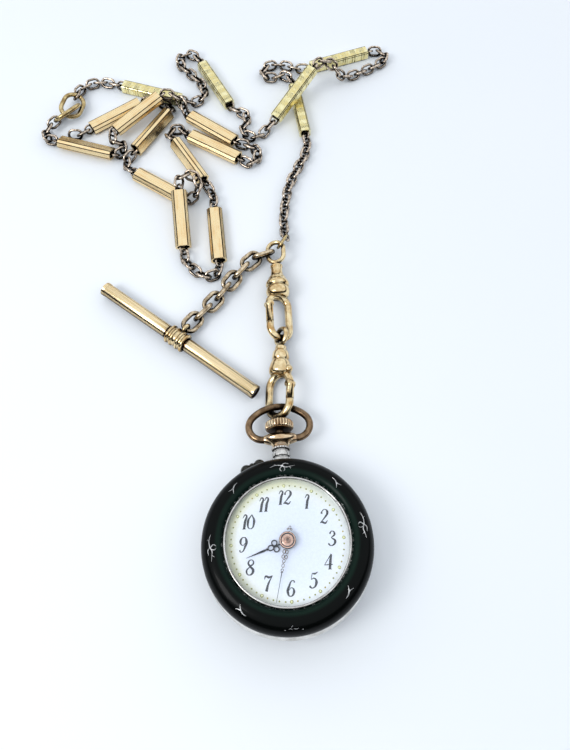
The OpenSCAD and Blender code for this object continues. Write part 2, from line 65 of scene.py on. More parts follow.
# camera and studio
print("camera and light")
cameraLook = {"lens": 36, "sensor": 36, "shift": -100 / 750, "tilt": 29.5, "near": 0.01,
              "place": (-0.00026, -0.02634, 0.1436)}
camera = newObject("camera", bpy.data.cameras.new("camera"))
bpy.context.scene.camera = camera
camera.data.lens = cameraLook["lens"]
camera.data.sensor_width = cameraLook["sensor"]
camera.data.shift_y = cameraLook["shift"]
camera.data.clip_start = cameraLook["near"]
camera.location = cameraLook["place"]
camera.rotation_euler = (rad(cameraLook["tilt"]), 0, 0)
bpy.context.scene.view_settings.view_transform = "Standard"


# an sRGB hex value as a linear colour
def hexColour(text):
    parts = [int(text[i:i + 2], 16) / 255 for i in (1, 3, 5)]
    return tuple(p / 12.92 if p <= 0.04045 else ((p + 0.055) / 1.055) ** 2.4 for p in parts) + (1,)


# a value that is a node stands for its first output
def setInputs(tree, node, inputs):
    for key, value in inputs.items():
        if isinstance(value, bpy.types.Node):
            value = value.outputs[0]
        if isinstance(value, bpy.types.NodeSocket):
            tree.links.new(value, node.inputs[key])
        else:
            node.inputs[key].default_value = value


# inputs by number: Map Range 0 value, 1 and 2 from, 3 and 4 to; Mix 0 factor, 6 and 7 colours
def addNode(tree, kind, inputs=None, **settings):
    made = tree.nodes.new("ShaderNode" + kind)
    for key, value in settings.items():
        setattr(made, key, value)
    setInputs(tree, made, inputs or {})
    return made


def setStops(ramp, stops):
    band = ramp.color_ramp
    while len(band.elements) < len(stops):
        band.elements.new(0.5)
    for element, (place, colour) in zip(band.elements, stops):
        element.position = place
        element.color = hexColour(colour)


def newMaterial(name):
    material = bpy.data.materials.new(name)
    material.use_nodes = True
    return material, material.node_tree, material.node_tree.nodes["Principled BSDF"]


# a bright tent of light, dark only low down, and higher up on the side where the photographer stands
studio = {"dark": 0.02, "sky": 1.02, "farAt": 0.35, "farEdge": 0.1, "nearAt": -0.65, "nearEdge": 0.52,
          "soft": 0.06, "tint": "#F4F9FF", "keyPower": 0.5, "keySize": 0.16,
          "keyPlace": (-0.24, -0.08, 0.3), "keyTilt": (28, -38, 0)}
world = bpy.data.worlds.new("studio")
bpy.context.scene.world = world
world.use_nodes = True
tree = world.node_tree
direction = addNode(tree, "TexCoord")
parts = addNode(tree, "SeparateXYZ", {0: direction.outputs["Generated"]})
edge = addNode(tree, "MapRange", {0: parts.outputs["Y"], 1: studio["farAt"], 2: studio["nearAt"],
                                  3: studio["farEdge"], 4: studio["nearEdge"]})
above = addNode(tree, "Math", {0: parts.outputs["Z"], 1: edge}, operation="SUBTRACT")
light = addNode(tree, "MapRange", {0: above, 1: 0.0, 2: studio["soft"], 3: studio["dark"],
                                   4: studio["sky"]}, interpolation_type="SMOOTHSTEP")
tinted = addNode(tree, "Mix", {0: 1.0, 6: light, 7: hexColour(studio["tint"])},
                 data_type="RGBA", blend_type="MULTIPLY")
setInputs(tree, tree.nodes["Background"], {"Color": tinted.outputs[2], "Strength": 1.0})

keyLight = bpy.data.lights.new("softbox", "AREA")
keyLight.energy = studio["keyPower"]
keyLight.size = studio["keySize"]
softbox = newObject("softbox", keyLight)
softbox.location = studio["keyPlace"]
softbox.rotation_euler = [rad(a) for a in studio["keyTilt"]]

# the table top: white card with a cool cast
tableLook = {"half": 1.5, "grain": 14.0, "low": "#F1F6FB", "high": "#F7FAFD", "rough": 0.8}
floorShape = bmesh.new()
bmesh.ops.create_grid(floorShape, x_segments=1, y_segments=1, size=tableLook["half"])
floorMesh = meshOf(floorShape, "tableTop")
tableTop = newObject("tableTop", floorMesh)
card, tree, shader = newMaterial("matt white card")
grain = addNode(tree, "TexNoise", {"Scale": tableLook["grain"], "Detail": 3.0})
shade = addNode(tree, "ValToRGB", {0: grain})
setStops(shade, [(0.3, tableLook["low"]), (0.7, tableLook["high"])])
setInputs(tree, shader, {"Base Color": shade, "Roughness": tableLook["rough"]})
floorMesh.materials.append(card)

# materials
print("materials")


# object coordinates in millimetres, in the watch's own frame or the table's
def watchCoords(tree):
    place = addNode(tree, "TexCoord")
    return addNode(tree, "Mapping",
                   {"Vector": place.outputs["Object"], "Location": watchSpace.translation * metre,
                    "Rotation": (rad(watchLean["lean"]), 0, rad(watchLean["turn"])),
                    "Scale": (metre,) * 3}, vector_type="TEXTURE")


def tableCoords(tree):
    place = addNode(tree, "TexCoord")
    return addNode(tree, "Mapping", {"Vector": place.outputs["Object"], "Scale": (1 / metre,) * 3},
                   vector_type="POINT")


# flat coordinates across the watch and the distance from its axis
def fromAxis(tree, coords):
    split = addNode(tree, "SeparateXYZ", {0: coords})
    flat = addNode(tree, "CombineXYZ", {0: split.outputs[0], 1: split.outputs[1]})
    outward = addNode(tree, "VectorMath", {0: flat}, operation="LENGTH")
    return flat, outward.outputs["Value"]


# worn metal: patchy colour, dark tarnish in hollows together with painted shade on sides, undersides and near
# the table, hair-fine scratches
wearAndShadeLook = {"darkAt": 0.32, "brightAt": 0.62, "speckle": 2.2, "share": 0.6, "cleanUnshadedTo": 0.42, "dirtyShadedFrom": 0.9,
            "dull": 0.3, "dullest": 0.7, "hairs": 5.0, "depth": 0.03}


def agedMetal(look):
    material, tree, shader = newMaterial(look["name"])
    coords = tableCoords(tree)
    patches = addNode(tree, "TexNoise",
                      {"Vector": coords, "Scale": 1 / look["patch"], "Detail": 4.0, "Roughness": 0.6})
    tone = addNode(tree, "ValToRGB", {0: patches})
    setStops(tone, [(wearAndShadeLook["darkAt"], look["dark"]), (wearAndShadeLook["brightAt"], look["colour"])])
    # ambient occlusion darkens toward the dark colour: tarnish in hollows, and painted shade on sides and
    # undersides
    dirtAndShadeReach = addNode(tree, "AmbientOcclusion", {"Distance": look["dirtAndShadeReach"] * metre}, samples=6)
    dirtAndShade = addNode(tree, "MapRange", {0: dirtAndShadeReach.outputs["AO"], 1: look["open"], 2: look["shut"]})
    speckle = addNode(tree, "TexNoise", {"Vector": coords, "Scale": wearAndShadeLook["speckle"], "Detail": 5.0})
    patchyDirtAndShade = addNode(tree, "Math", {0: speckle, 1: wearAndShadeLook["share"], 2: dirtAndShade},
                          operation="MULTIPLY_ADD")
    settledDirtAndShade = addNode(tree, "MapRange", {0: patchyDirtAndShade, 1: wearAndShadeLook["cleanUnshadedTo"], 2: wearAndShadeLook["dirtyShadedFrom"]})
    colour = addNode(tree, "Mix", {0: settledDirtAndShade, 6: tone, 7: hexColour(look["tarnishAndShade"])}, data_type="RGBA")
    sheen = addNode(tree, "MapRange", {0: settledDirtAndShade, 3: look["rough"],
                                       4: min(wearAndShadeLook["dullest"], look["rough"] + wearAndShadeLook["dull"])})
    hairs = addNode(tree, "TexNoise", {"Vector": coords, "Scale": wearAndShadeLook["hairs"], "Detail": 6.0})
    relief = addNode(tree, "Bump", {"Height": hairs, "Strength": look["wear"],
                                    "Distance": wearAndShadeLook["depth"] * metre})
    setInputs(tree, shader, {"Base Color": colour.outputs[2], "Metallic": 1.0, "Roughness": sheen,
                             "Normal": relief})
    return material


# patch is the width of a patch of colour, reach is how far from other surfaces and the table the tarnish and
# painted shade gather, open and shut the share of open sky where they start and where they are full
metalColumns = ("name", "colour", "dark", "tarnishAndShade", "patch", "dirtAndShadeReach", "open", "shut", "rough", "wear")
metalRows = {
    # cast and hand-finished: pale yellow on the worn crowns, nearly black in the grooves from tarnish and
    # painted shade
    "clipGold": ("cast rolled gold", "#FBE6B8", "#C79F66", "#1B130C", 1.4, 3.2, 0.88, 0.5, 0.12, 0.15),
    # brown where the gold is thin
    "chainGold": ("drawn rolled gold wire", "#E3CC98", "#9C804F", "#1A120B", 1.3, 3.0, 0.86, 0.5, 0.15, 0.3),
    # the T-bar's links have lost most of their gold
    "linkBrass": ("worn brass wire", "#F2DDBC", "#7C6548", "#0D0906", 1.0, 4.0, 0.88, 0.58, 0.12, 0.3),
    # a brown rose gold, polished by wear, its sides and underside darkened by painted shade
    "bowGold": ("polished rose gold", "#A78A6A", "#5F4936", "#100A06", 1.6, 5.0, 0.96, 0.62, 0.16, 0.15),
    # dark only at the foot of each flute, from tarnish and painted shade
    "crownGold": ("fluted rose gold", "#F6E0BC", "#CBA57E", "#24120C", 1.2, 2.2, 0.86, 0.5, 0.14, 0.2),
    # nearly black at the sides and underneath from painted shade as well as tarnish, bright on top
    "linkBronze": ("tarnished bronze wire", "#F6E3CE", "#5A4A3C", "#070505", 0.6, 4.0, 0.84, 0.6, 0.12, 0.3),
    # pale grey, lightly brushed by use, with painted shade on its sides and underneath
    "caseSilver": ("worn case silver", "#E4E2DE", "#B4B0AB", "#1C1A17", 2.2, 5.0, 0.74, 0.34, 0.14, 0.2),
    # dull and dark, with little gloss
    "buttonSteel": ("worn nickel steel", "#4A4944", "#201F1C", "#0E0D0C", 0.7, 0.8, 0.8, 0.35, 0.24, 0.6),
    # painted shade: a matt black line along the bars' edges, in the recesses at their ends and in the T-bar's
    # end holes
    "shadeLine": ("blackened solder line", "#1E1611", "#0E0A07", "#050403", 0.8, 0.4, 0.8, 0.3, 0.45, 0.3),
    # hidden under the dial
    "movementBrass": ("gilt brass plate", "#D2B36A", "#A88847", "#2A1F10", 1.5, 0.5, 0.7, 0.3, 0.3, 0.2),
    # pinkish and softly bright
    "bossCopper": ("copper rivet", "#F0CBB6", "#C29079", "#2B1712", 0.35, 0.25, 0.8, 0.3, 0.3, 0.3),
    # thin leaf, brown against the white dial
    "handGilt": ("gilt brass leaf", "#7E6A58", "#473A30", "#1A120E", 0.6, 0.2, 0.7, 0.3, 0.4, 0.2),
    # reads nearly black, with a blue cast in its gloss
    "bluedSteel": ("heat-blued steel", "#242833", "#12141B", "#0B0C12", 0.8, 0.2, 0.7, 0.3, 0.35, 0.15),
    # silver laid in the enamel, rubbed bright on top
    "inlaySilver": ("inlaid silver", "#D9D9D9", "#8A8A88", "#3A3B3A", 0.5, 0.05, 0.4, 0.1, 0.35, 0.4),
}
metals = {key: agedMetal(dict(zip(metalColumns, row))) for key, row in metalRows.items()}


# a bare metal whose gloss and fine relief follow one pattern
def finishMetal(tree, shader, look, colour, pattern, invert=False):
    gloss = addNode(tree, "MapRange", {0: pattern, 3: look["rough"], 4: look["rough"] + look["dull"]})
    relief = addNode(tree, "Bump", {"Height": pattern, "Strength": look["relief"],
                                    "Distance": look["depth"] * metre}, invert=invert)
    setInputs(tree, shader, {"Base Color": colour, "Metallic": 1.0, "Roughness": gloss, "Normal": relief})


# polished rolled gold of the T-bar: a drawn tube with fine lengthwise drawing lines, darkened on its lower
# side by painted shade mixed with tarnish
barTone = {"colour": "#FFE9BC", "dark": "#DDB878", "tarnishAndShade": "#2E1810", "lineGap": 0.12, "along": 0.12,
           "rough": 0.1, "dull": 0.14, "relief": 0.3, "depth": 0.04, "dirtAndShadeReach": 6.0, "open": 0.99, "shut": 0.76}
polishedGold, tree, shader = newMaterial("polished drawn gold tube")
spread = addNode(tree, "Attribute", attribute_name="barSpace").outputs["Vector"]
drawn = addNode(tree, "Mapping", {"Vector": spread,
                                  "Scale": (barTone["along"],) + (1 / barTone["lineGap"],) * 2})
lines = addNode(tree, "TexNoise", {"Vector": drawn, "Scale": 1.0, "Detail": 5.0})
tone = addNode(tree, "ValToRGB", {0: lines})
setStops(tone, [(0.3, barTone["dark"]), (0.55, barTone["colour"])])
# ambient occlusion reaching down to the table paints shade along the tube's lower side
dirtAndShadeReach = addNode(tree, "AmbientOcclusion", {"Distance": barTone["dirtAndShadeReach"] * metre}, samples=6)
under = addNode(tree, "MapRange", {0: dirtAndShadeReach.outputs["AO"], 1: barTone["open"], 2: barTone["shut"]})
streaksAndShade = addNode(tree, "Math", {0: lines, 1: 0.5, 2: under}, operation="MULTIPLY_ADD")
settledDirtAndShade = addNode(tree, "MapRange", {0: streaksAndShade, 1: 0.45, 2: 0.95})
colour = addNode(tree, "Mix", {0: settledDirtAndShade, 6: tone, 7: hexColour(barTone["tarnishAndShade"])}, data_type="RGBA")
finishMetal(tree, shader, barTone, colour.outputs[2], lines)

# rose gold of the plain bars: flat faces rubbed along their length
roseTone = {"colour": "#FFE6B4", "dark": "#F2C88C", "streak": 0.22, "along": 0.25, "blush": 0.35,
            "rough": 0.18, "dull": 0.18, "relief": 0.25, "depth": 0.05}
roseGold, tree, shader = newMaterial("rolled rose gold")
spread = addNode(tree, "Attribute", attribute_name="barSpace").outputs["Vector"]
rubbed = addNode(tree, "Mapping", {"Vector": spread,
                                   "Scale": (roseTone["along"],) + (1 / roseTone["streak"],) * 2})
streaks = addNode(tree, "TexNoise", {"Vector": rubbed, "Scale": 1.0, "Detail": 4.0})
blush = addNode(tree, "TexNoise", {"Vector": tableCoords(tree), "Scale": roseTone["blush"], "Detail": 3.0})
both = addNode(tree, "Math", {0: blush, 1: 0.6, 2: streaks}, operation="MULTIPLY_ADD")
tone = addNode(tree, "ValToRGB", {0: both})
setStops(tone, [(0.55, roseTone["dark"]), (0.85, roseTone["colour"])])
finishMetal(tree, shader, roseTone, tone, streaks)

# yellow gold of the engraved bars: cross-hatched panels between plain bands, green-brown in the cuts
cutTone = {"colour": "#FFF6C4", "dark": "#EFDD9A", "cut": "#8F7F42", "hatch": 0.42, "slant": 0.9,
           "panel": 2.6, "wave": 3.1, "rough": 0.26, "dull": 0.24, "relief": 0.6, "depth": 0.06}
engravedGold, tree, shader = newMaterial("engraved yellow gold")
spread = addNode(tree, "Attribute", attribute_name="barSpace").outputs["Vector"]
cuts = []
for slant in (cutTone["slant"], -cutTone["slant"]):
    turned = addNode(tree, "Mapping", {"Vector": spread, "Rotation": (0, 0, slant)})
    wave = addNode(tree, "TexWave",
                   {"Vector": turned, "Scale": 1 / cutTone["hatch"] / cutTone["wave"], "Distortion": 1.2,
                    "Detail": 2.0, "Detail Scale": 1.5}, bands_direction="X")
    cuts.append(addNode(tree, "MapRange", {0: wave.outputs["Fac"], 1: 0.62, 2: 0.9}))
crossed = addNode(tree, "Math", {0: cuts[0], 1: cuts[1]}, operation="MAXIMUM")
panels = addNode(tree, "TexWave", {"Vector": spread, "Scale": 1 / cutTone["panel"] / cutTone["wave"],
                                   "Distortion": 0.6}, bands_direction="X")
inPanel = addNode(tree, "MapRange", {0: panels.outputs["Fac"], 1: 0.35, 2: 0.55})
engraving = addNode(tree, "Math", {0: crossed, 1: inPanel}, operation="MULTIPLY")
worn = addNode(tree, "TexNoise", {"Vector": spread, "Scale": 1.1, "Detail": 5.0})
wornIn = addNode(tree, "MapRange", {0: worn, 1: 0.35, 2: 0.65})
shown = addNode(tree, "Math", {0: engraving, 1: wornIn}, operation="MULTIPLY")
tone = addNode(tree, "ValToRGB", {0: worn})
setStops(tone, [(0.35, cutTone["dark"]), (0.6, cutTone["colour"])])
colour = addNode(tree, "Mix", {0: shown, 6: tone, 7: hexColour(cutTone["cut"])}, data_type="RGBA")
finishMetal(tree, shader, cutTone, colour.outputs[2], shown, invert=True)

# vitreous enamel over metal: black, its dark green cast painted lighter toward the opening as a reflection,
# chipped to silver at its inner edge
enamelTone = {"inside": 11.2, "outside": 15.0, "edgeFrom": 11.25, "edgeTo": 11.75, "chips": 0.42,
              "stops": [(0.0, "#0A1A16"), (0.22, "#0E241C"), (0.36, "#040807"), (0.8, "#020303")],
              "cloudy": "#050807", "chip": "#B9BDBA", "rough": 0.3, "specular": 0.06, "coat": 0.07,
              "coatRough": 0.05, "depth": 0.1}
blackEnamel, tree, shader = newMaterial("black green vitreous enamel")
coords = watchCoords(tree)
flat, outward = fromAxis(tree, coords)
# the lighter green band toward the opening is a painted reflection
across = addNode(tree, "MapRange", {0: outward, 1: enamelTone["inside"], 2: enamelTone["outside"]})
tone = addNode(tree, "ValToRGB", {0: across})
setStops(tone, enamelTone["stops"])
cloud = addNode(tree, "TexNoise", {"Vector": coords, "Scale": 0.3, "Detail": 2.0})
deep = addNode(tree, "MapRange", {0: cloud, 3: 0.6, 4: 1.0})
body = addNode(tree, "Mix", {0: deep, 6: hexColour(enamelTone["cloudy"]), 7: tone}, data_type="RGBA")
edge = addNode(tree, "MapRange", {0: outward, 1: enamelTone["edgeTo"], 2: enamelTone["edgeFrom"],
                                  4: enamelTone["chips"]})
flakes = addNode(tree, "TexNoise", {"Vector": coords, "Scale": 1.6, "Detail": 6.0, "Roughness": 0.7})
chipping = addNode(tree, "Math", {0: edge, 1: flakes}, operation="ADD")
chipped = addNode(tree, "MapRange", {0: chipping, 1: 0.93, 2: 0.98})
colour = addNode(tree, "Mix", {0: chipped, 6: body.outputs[2], 7: hexColour(enamelTone["chip"])},
                 data_type="RGBA")
ripple = addNode(tree, "TexNoise", {"Vector": coords, "Scale": 0.8, "Detail": 3.0})
relief = addNode(tree, "Bump", {"Height": ripple, "Strength": 0.12, "Distance": enamelTone["depth"] * metre})
setInputs(tree, shader, {"Base Color": colour.outputs[2], "Metallic": chipped, "Normal": relief,
                         "Roughness": enamelTone["rough"], "Specular IOR Level": enamelTone["specular"],
                         "Coat Weight": enamelTone["coat"], "Coat Roughness": enamelTone["coatRough"],
                         "Coat IOR": 1.5})

# fired white dial enamel: a cool white middle, yellowed toward its rim, most of all on the left
dialTone = {"middle": "#E4EAF8", "radius": 12.0, "mottle": 2.5, "rough": 0.25,
            "yellowed": [(0.58, "#E8EEFA"), (0.72, "#F2F4F4"), (0.84, "#ECEBC4"), (0.95, "#C9CEBE")],
            "clean": [(0.6, "#EAF0FB"), (0.8, "#F4F7F8"), (0.93, "#F0F2EA")],
            "agedSide": (-0.8, 0.5, 0), "agedFrom": -7.0, "agedTo": 5.0}
dialEnamel, tree, shader = newMaterial("fired white dial enamel")
coords = watchCoords(tree)
flat, outward = fromAxis(tree, coords)
ringwise = addNode(tree, "MapRange", {0: outward, 1: 0.0, 2: dialTone["radius"]})
tone = addNode(tree, "ValToRGB", {0: ringwise})
setStops(tone, [(0.0, dialTone["middle"])] + dialTone["yellowed"])
paler = addNode(tree, "ValToRGB", {0: ringwise})
setStops(paler, [(0.0, dialTone["middle"])] + dialTone["clean"])
side = addNode(tree, "VectorMath", {0: flat, 1: dialTone["agedSide"]}, operation="DOT_PRODUCT")
aged = addNode(tree, "MapRange", {0: side.outputs["Value"], 1: dialTone["agedFrom"], 2: dialTone["agedTo"]})
colour = addNode(tree, "Mix", {0: aged, 6: paler, 7: tone}, data_type="RGBA")
mottle = addNode(tree, "TexNoise", {"Vector": coords, "Scale": dialTone["mottle"], "Detail": 4.0})
faint = addNode(tree, "MapRange", {0: mottle, 1: 0.3, 2: 0.7, 3: 0.94, 4: 1.0})
soft = addNode(tree, "Mix", {0: 1.0, 6: colour.outputs[2], 7: faint}, data_type="RGBA", blend_type="MULTIPLY")
setInputs(tree, shader, {"Base Color": soft.outputs[2], "Roughness": dialTone["rough"]})

# watch glass: clear mineral glass that lets the light through to the dial
glassTone = {"tint": "#FBFDFF", "shadow": "#FAFCFF", "smear": 0.5, "haze": 0.05}
crystalGlass, tree, shader = newMaterial("mineral watch glass")
smear = addNode(tree, "TexNoise", {"Vector": watchCoords(tree), "Scale": glassTone["smear"], "Detail": 3.0})
haze = addNode(tree, "MapRange", {0: smear, 1: 0.4, 2: 0.8, 4: glassTone["haze"]})
setInputs(tree, shader, {"Base Color": hexColour(glassTone["tint"]), "Transmission Weight": 1.0, "IOR": 1.5,
                         "Roughness": haze})
clear = addNode(tree, "BsdfTransparent", {0: hexColour(glassTone["shadow"])})
rays = addNode(tree, "LightPath")
through = addNode(tree, "MixShader", {0: rays.outputs["Is Shadow Ray"], 1: shader, 2: clear})
setInputs(tree, tree.nodes["Material Output"], {"Surface": through})


# painted and gilt marks on the dial
def dialPaint(name, light, dark, rough, metallic):
    material, tree, shader = newMaterial(name)
    grain = addNode(tree, "TexNoise", {"Vector": watchCoords(tree), "Scale": 4.0, "Detail": 3.0})
    tone = addNode(tree, "ValToRGB", {0: grain})
    setStops(tone, [(0.35, dark), (0.65, light)])
    setInputs(tree, shader, {"Base Color": tone, "Roughness": rough, "Metallic": metallic})
    return material


inkPaint = dialPaint("dial ink", "#1B222D", "#0C1016", 0.4, 0.0)
giltDot = dialPaint("gilt dial dot", "#A9AC55", "#7D7F35", 0.35, 0.3)
hourGilt = dialPaint("gilt hour mark", "#C3A637", "#8A8A2B", 0.35, 0.3)
haloTint = dialPaint("yellow fired halo", "#EEEDA9", "#F0EFBE", 0.4, 0.0)


# a visible piece: its mesh, its materials, the body that carries it and the CAD nodes that it replaces
def newPiece(shape, name, materials, replaced=(), body=chainBody, sharp=38):
    mesh = meshOf(shape, name)
    for face in mesh.polygons:
        face.use_smooth = True
    mesh.set_sharp_from_angle(angle=rad(sharp))
    for material in materials:
        mesh.materials.append(material)
    piece = newObject(name, mesh)
    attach(piece, body)
    if replaced:
        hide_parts(*replaced)
    return piece


# a CAD node's own shape, its triangles merged so that it can be shaded smooth
def mergedCopy(nodeName):
    shape = bmesh.new()
    shape.from_mesh(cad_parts[nodeName].data)
    bmesh.ops.remove_doubles(shape, verts=shape.verts, dist=2e-6)
    return shape


# carries everything in a shape once round Z, with its ends welded
def fullTurn(shape, steps):
    bmesh.ops.spin(shape, geom=shape.verts[:] + shape.edges[:], axis=(0, 0, 1), cent=(0, 0, 0),
                   steps=steps, angle=rad(360), use_merge=True)
    bmesh.ops.remove_doubles(shape, verts=shape.verts, dist=1e-5)


# turns a line of (radius, height) points about Z
def lathe(points, steps):
    shape = bmesh.new()
    corners = [shape.verts.new((r, 0, z)) for r, z in points]
    for pair in zip(corners, corners[1:]):
        shape.edges.new(pair)
    fullTurn(shape, steps)
    bmesh.ops.recalc_face_normals(shape, faces=shape.faces)
    return shape


# an oval wire link in the XY plane, its length along X; a round ring when both sizes agree
def wireLink(length, width, wire, steps, sides):
    shape = bmesh.new()
    bmesh.ops.create_circle(shape, segments=sides, radius=wire)
    bmesh.ops.transform(shape, verts=shape.verts, matrix=Matrix.Rotation(rad(180 / steps), 4, "Z")
                        @ Matrix.Translation((width / 2 - wire, 0, 0)) @ Matrix.Rotation(rad(90), 4, "X"))
    fullTurn(shape, steps)
    for corner in shape.verts:
        corner.co.x += math.copysign((length - width) / 2, corner.co.x)
    bmesh.ops.recalc_face_normals(shape, faces=shape.faces)
    return meshOf(shape, "wireLink")


# adds a finished mesh to a shape at a place
def addMesh(shape, mesh, place, materialIndex=0):
    verts, faces = len(shape.verts), len(shape.faces)
    shape.from_mesh(mesh)
    shape.verts.ensure_lookup_table()
    shape.faces.ensure_lookup_table()
    bmesh.ops.transform(shape, verts=shape.verts[verts:], matrix=place)
    for face in shape.faces[faces:]:
        face.material_index = materialIndex


# the same with a shape, which is then free
def addShape(shape, other, place, materialIndex=0):
    mesh = meshOf(other, "part")
    addMesh(shape, mesh, place, materialIndex)
    bpy.data.meshes.remove(mesh)


# a drawn stroke: a smooth round line through points of (x, y, z, radius)
def strokeMesh(strokes, name, sides=2):
    line = bpy.data.curves.new(name, "CURVE")
    line.dimensions = "3D"
    line.bevel_depth = 1.0
    line.bevel_resolution = sides
    line.resolution_u = 6
    line.use_fill_caps = True
    for points in strokes:
        spline = line.splines.new("BEZIER")
        spline.bezier_points.add(len(points) - 1)
        for knot, (x, y, z, r) in zip(spline.bezier_points, points):
            knot.co = (x, y, z)
            knot.radius = r
            knot.handle_left_type = knot.handle_right_type = "AUTO"
    holder = newObject(name, line)
    bpy.context.view_layer.update()
    mesh = bpy.data.meshes.new_from_object(holder.evaluated_get(bpy.context.evaluated_depsgraph_get()))
    bpy.data.objects.remove(holder)
    bpy.data.curves.remove(line)
    welded = bmesh.new()  # the round caps are loose from their tubes until welded
    welded.from_mesh(mesh)
    bmesh.ops.remove_doubles(welded, verts=welded.verts, dist=1e-4)
    welded.to_mesh(mesh)
    welded.free()
    return mesh


# pieces that keep the CAD shape and get a smooth surface: name, CAD node and metal
print("case, clips and rings")
bodyOf = {"push_piece": "push", "lower_gate": "low_gate", "upper_gate": "up_gate"}
smoothPieces = [
    ("caseBack", "case_back", "caseSilver"), ("caseBand", "case_band", "caseSilver"),
    ("glassRing", "bezel_ring", "caseSilver"), ("movementDrum", "movement", "movementBrass"),
    ("pushGuard", "push_guard", "buttonSteel"), ("pushPiece", "push_piece", "buttonSteel"),
    ("lowerClipBody", "lower_clip_body", "clipGold"), ("lowerGate", "lower_gate", "clipGold"),
    ("lowerEye", "lower_eye", "clipGold"), ("upperClipBody", "upper_clip_body", "clipGold"),
    ("upperGate", "upper_gate", "clipGold"), ("upperEye", "upper_eye", "clipGold"),
    ("barCollar", "toggle_collar", "clipGold"), ("barChain", "toggle_chain", "linkBrass"),
    ("startRing", "start_ring", "chainGold"), ("ovalRingLow", "oval_ring_1", "chainGold"),
    ("ovalRingHigh", "oval_ring_2", "chainGold"),
]
for name, nodeName, metal in smoothPieces:
    newPiece(mergedCopy(nodeName), name, [metals[metal]], [nodeName],
             bodyOf.get(nodeName, chainBody))

# pendant: a silver neck with a ring of beads, then a rose gold bell and the crossbar that carries the bow
print("pendant, bow and crown")
neck = {"height": 5, "pivot": 20, "steps": 64, "beads": 20, "beadRing": 1.5, "beadAt": 17.9, "bead": 0.3,
        "silver": [(0, 12.7), (0.9, 12.7), (0.9, 15.15), (1.75, 15.15), (1.9, 15.3), (1.9, 15.8),
                   (1.75, 15.95), (1.42, 16), (1.42, 16.25), (1.62, 16.35), (1.68, 16.6), (1.68, 17),
                   (1.6, 17.25), (1.42, 17.35), (1.4, 17.6), (1.5, 17.75), (1.55, 17.9), (1.5, 18.05),
                   (1.35, 18.2), (1.2, 18.7), (0, 18.8)],
        "bell": [(0, 18.3), (1.15, 18.3), (1.2, 18.6), (1.5, 19), (2, 19.35), (2.35, 19.7), (2.4, 20),
                 (2.2, 20.3), (1.4, 20.6), (0.9, 20.7), (0.9, 21.5), (0.57, 21.5), (0.57, 22.9), (0, 22.95)],
        "oval": {"upTo": 20.65, "wide": 1.3, "thick": 0.85},
        "barHalf": 3.1, "barArc": 7.94, "barIn": 6.59, "barSteps": 8}
neckSpace = Matrix.Translation((0, 0, neck["height"])) @ Matrix.Rotation(rad(-90), 4, "X")
barSpots = [neck["barHalf"] * (k / neck["barSteps"] - 1) for k in range(2 * neck["barSteps"] + 1)]
barLine = [(math.sqrt(neck["barArc"] ** 2 - x ** 2) - neck["barIn"], x) for x in barSpots]
barLine = [(0, barSpots[0])] + barLine + [(0, barSpots[-1])]
pivotPlace = Matrix.Translation((0, neck["pivot"], neck["height"]))
neckParts = [(neck["silver"], neckSpace, 0), (neck["bell"], neckSpace, 1),
             (barLine, pivotPlace @ Matrix.Rotation(rad(90), 4, "Y"), 1)]
shape = bmesh.new()
for points, place, metal in neckParts:
    turned = lathe(points, neck["steps"])
    if points is neck["bell"]:
        for corner in turned.verts:
            if corner.co.z < neck["oval"]["upTo"]:  # the stem above it stays round
                corner.co.x *= neck["oval"]["wide"]
                corner.co.y *= neck["oval"]["thick"]
    addShape(shape, turned, place, metal)
for k in range(neck["beads"]):
    bead = (neckSpace @ Matrix.Rotation(rad(360 * k / neck["beads"]), 4, "Z")
            @ Matrix.Translation((neck["beadRing"], 0, neck["beadAt"])))
    bmesh.ops.create_uvsphere(shape, u_segments=12, v_segments=8, radius=neck["bead"], matrix=bead)
bmesh.ops.transform(shape, verts=shape.verts, matrix=watchPlace)
newPiece(shape, "pendantNeck", [metals["caseSilver"], metals["crownGold"]], ["pendant_neck"])

# the bow: one wire bent to two side arcs and a flatter top arc
bow = {"wire": 0.68, "side": 3.2, "bend": 2.7, "rise": 4, "lean": -1.3, "arcSteps": 8, "endIn": 0.1,
       "sides": 7}
aboveBend = bow["rise"] - bow["bend"]
topDrop = (bow["side"] ** 2 - aboveBend ** 2) / (2 * aboveBend)
topRadius = topDrop + bow["rise"]
meeting = math.atan2(topDrop, bow["side"])
steps = bow["arcSteps"]
bendTurns = [rad(-90) + (meeting + rad(90)) * k / steps for k in range(steps + 1)]
rightArc = [(bow["side"] + bow["bend"] * math.cos(a), bow["bend"] + bow["bend"] * math.sin(a))
            for a in bendTurns]
topTurns = [meeting + (rad(180) - 2 * meeting) * k / steps for k in range(1, steps)]
topArc = [(topRadius * math.cos(a), bow["bend"] - topDrop + topRadius * math.sin(a)) for a in topTurns]
bent = [(bow["side"] - bow["endIn"], 0)] + rightArc + topArc + [(-x, y) for x, y in reversed(rightArc)]
bent.append((bow["endIn"] - bow["side"], 0))
shape = bmesh.new()
addMesh(shape, strokeMesh([[(x, y, 0, bow["wire"]) for x, y in bent]], "bowLoop", bow["sides"]),
        watchPlace @ pivotPlace @ Matrix.Rotation(rad(bow["lean"]), 4, "X"))
newPiece(shape, "bowLoop", [metals["bowGold"]], ["bow"])

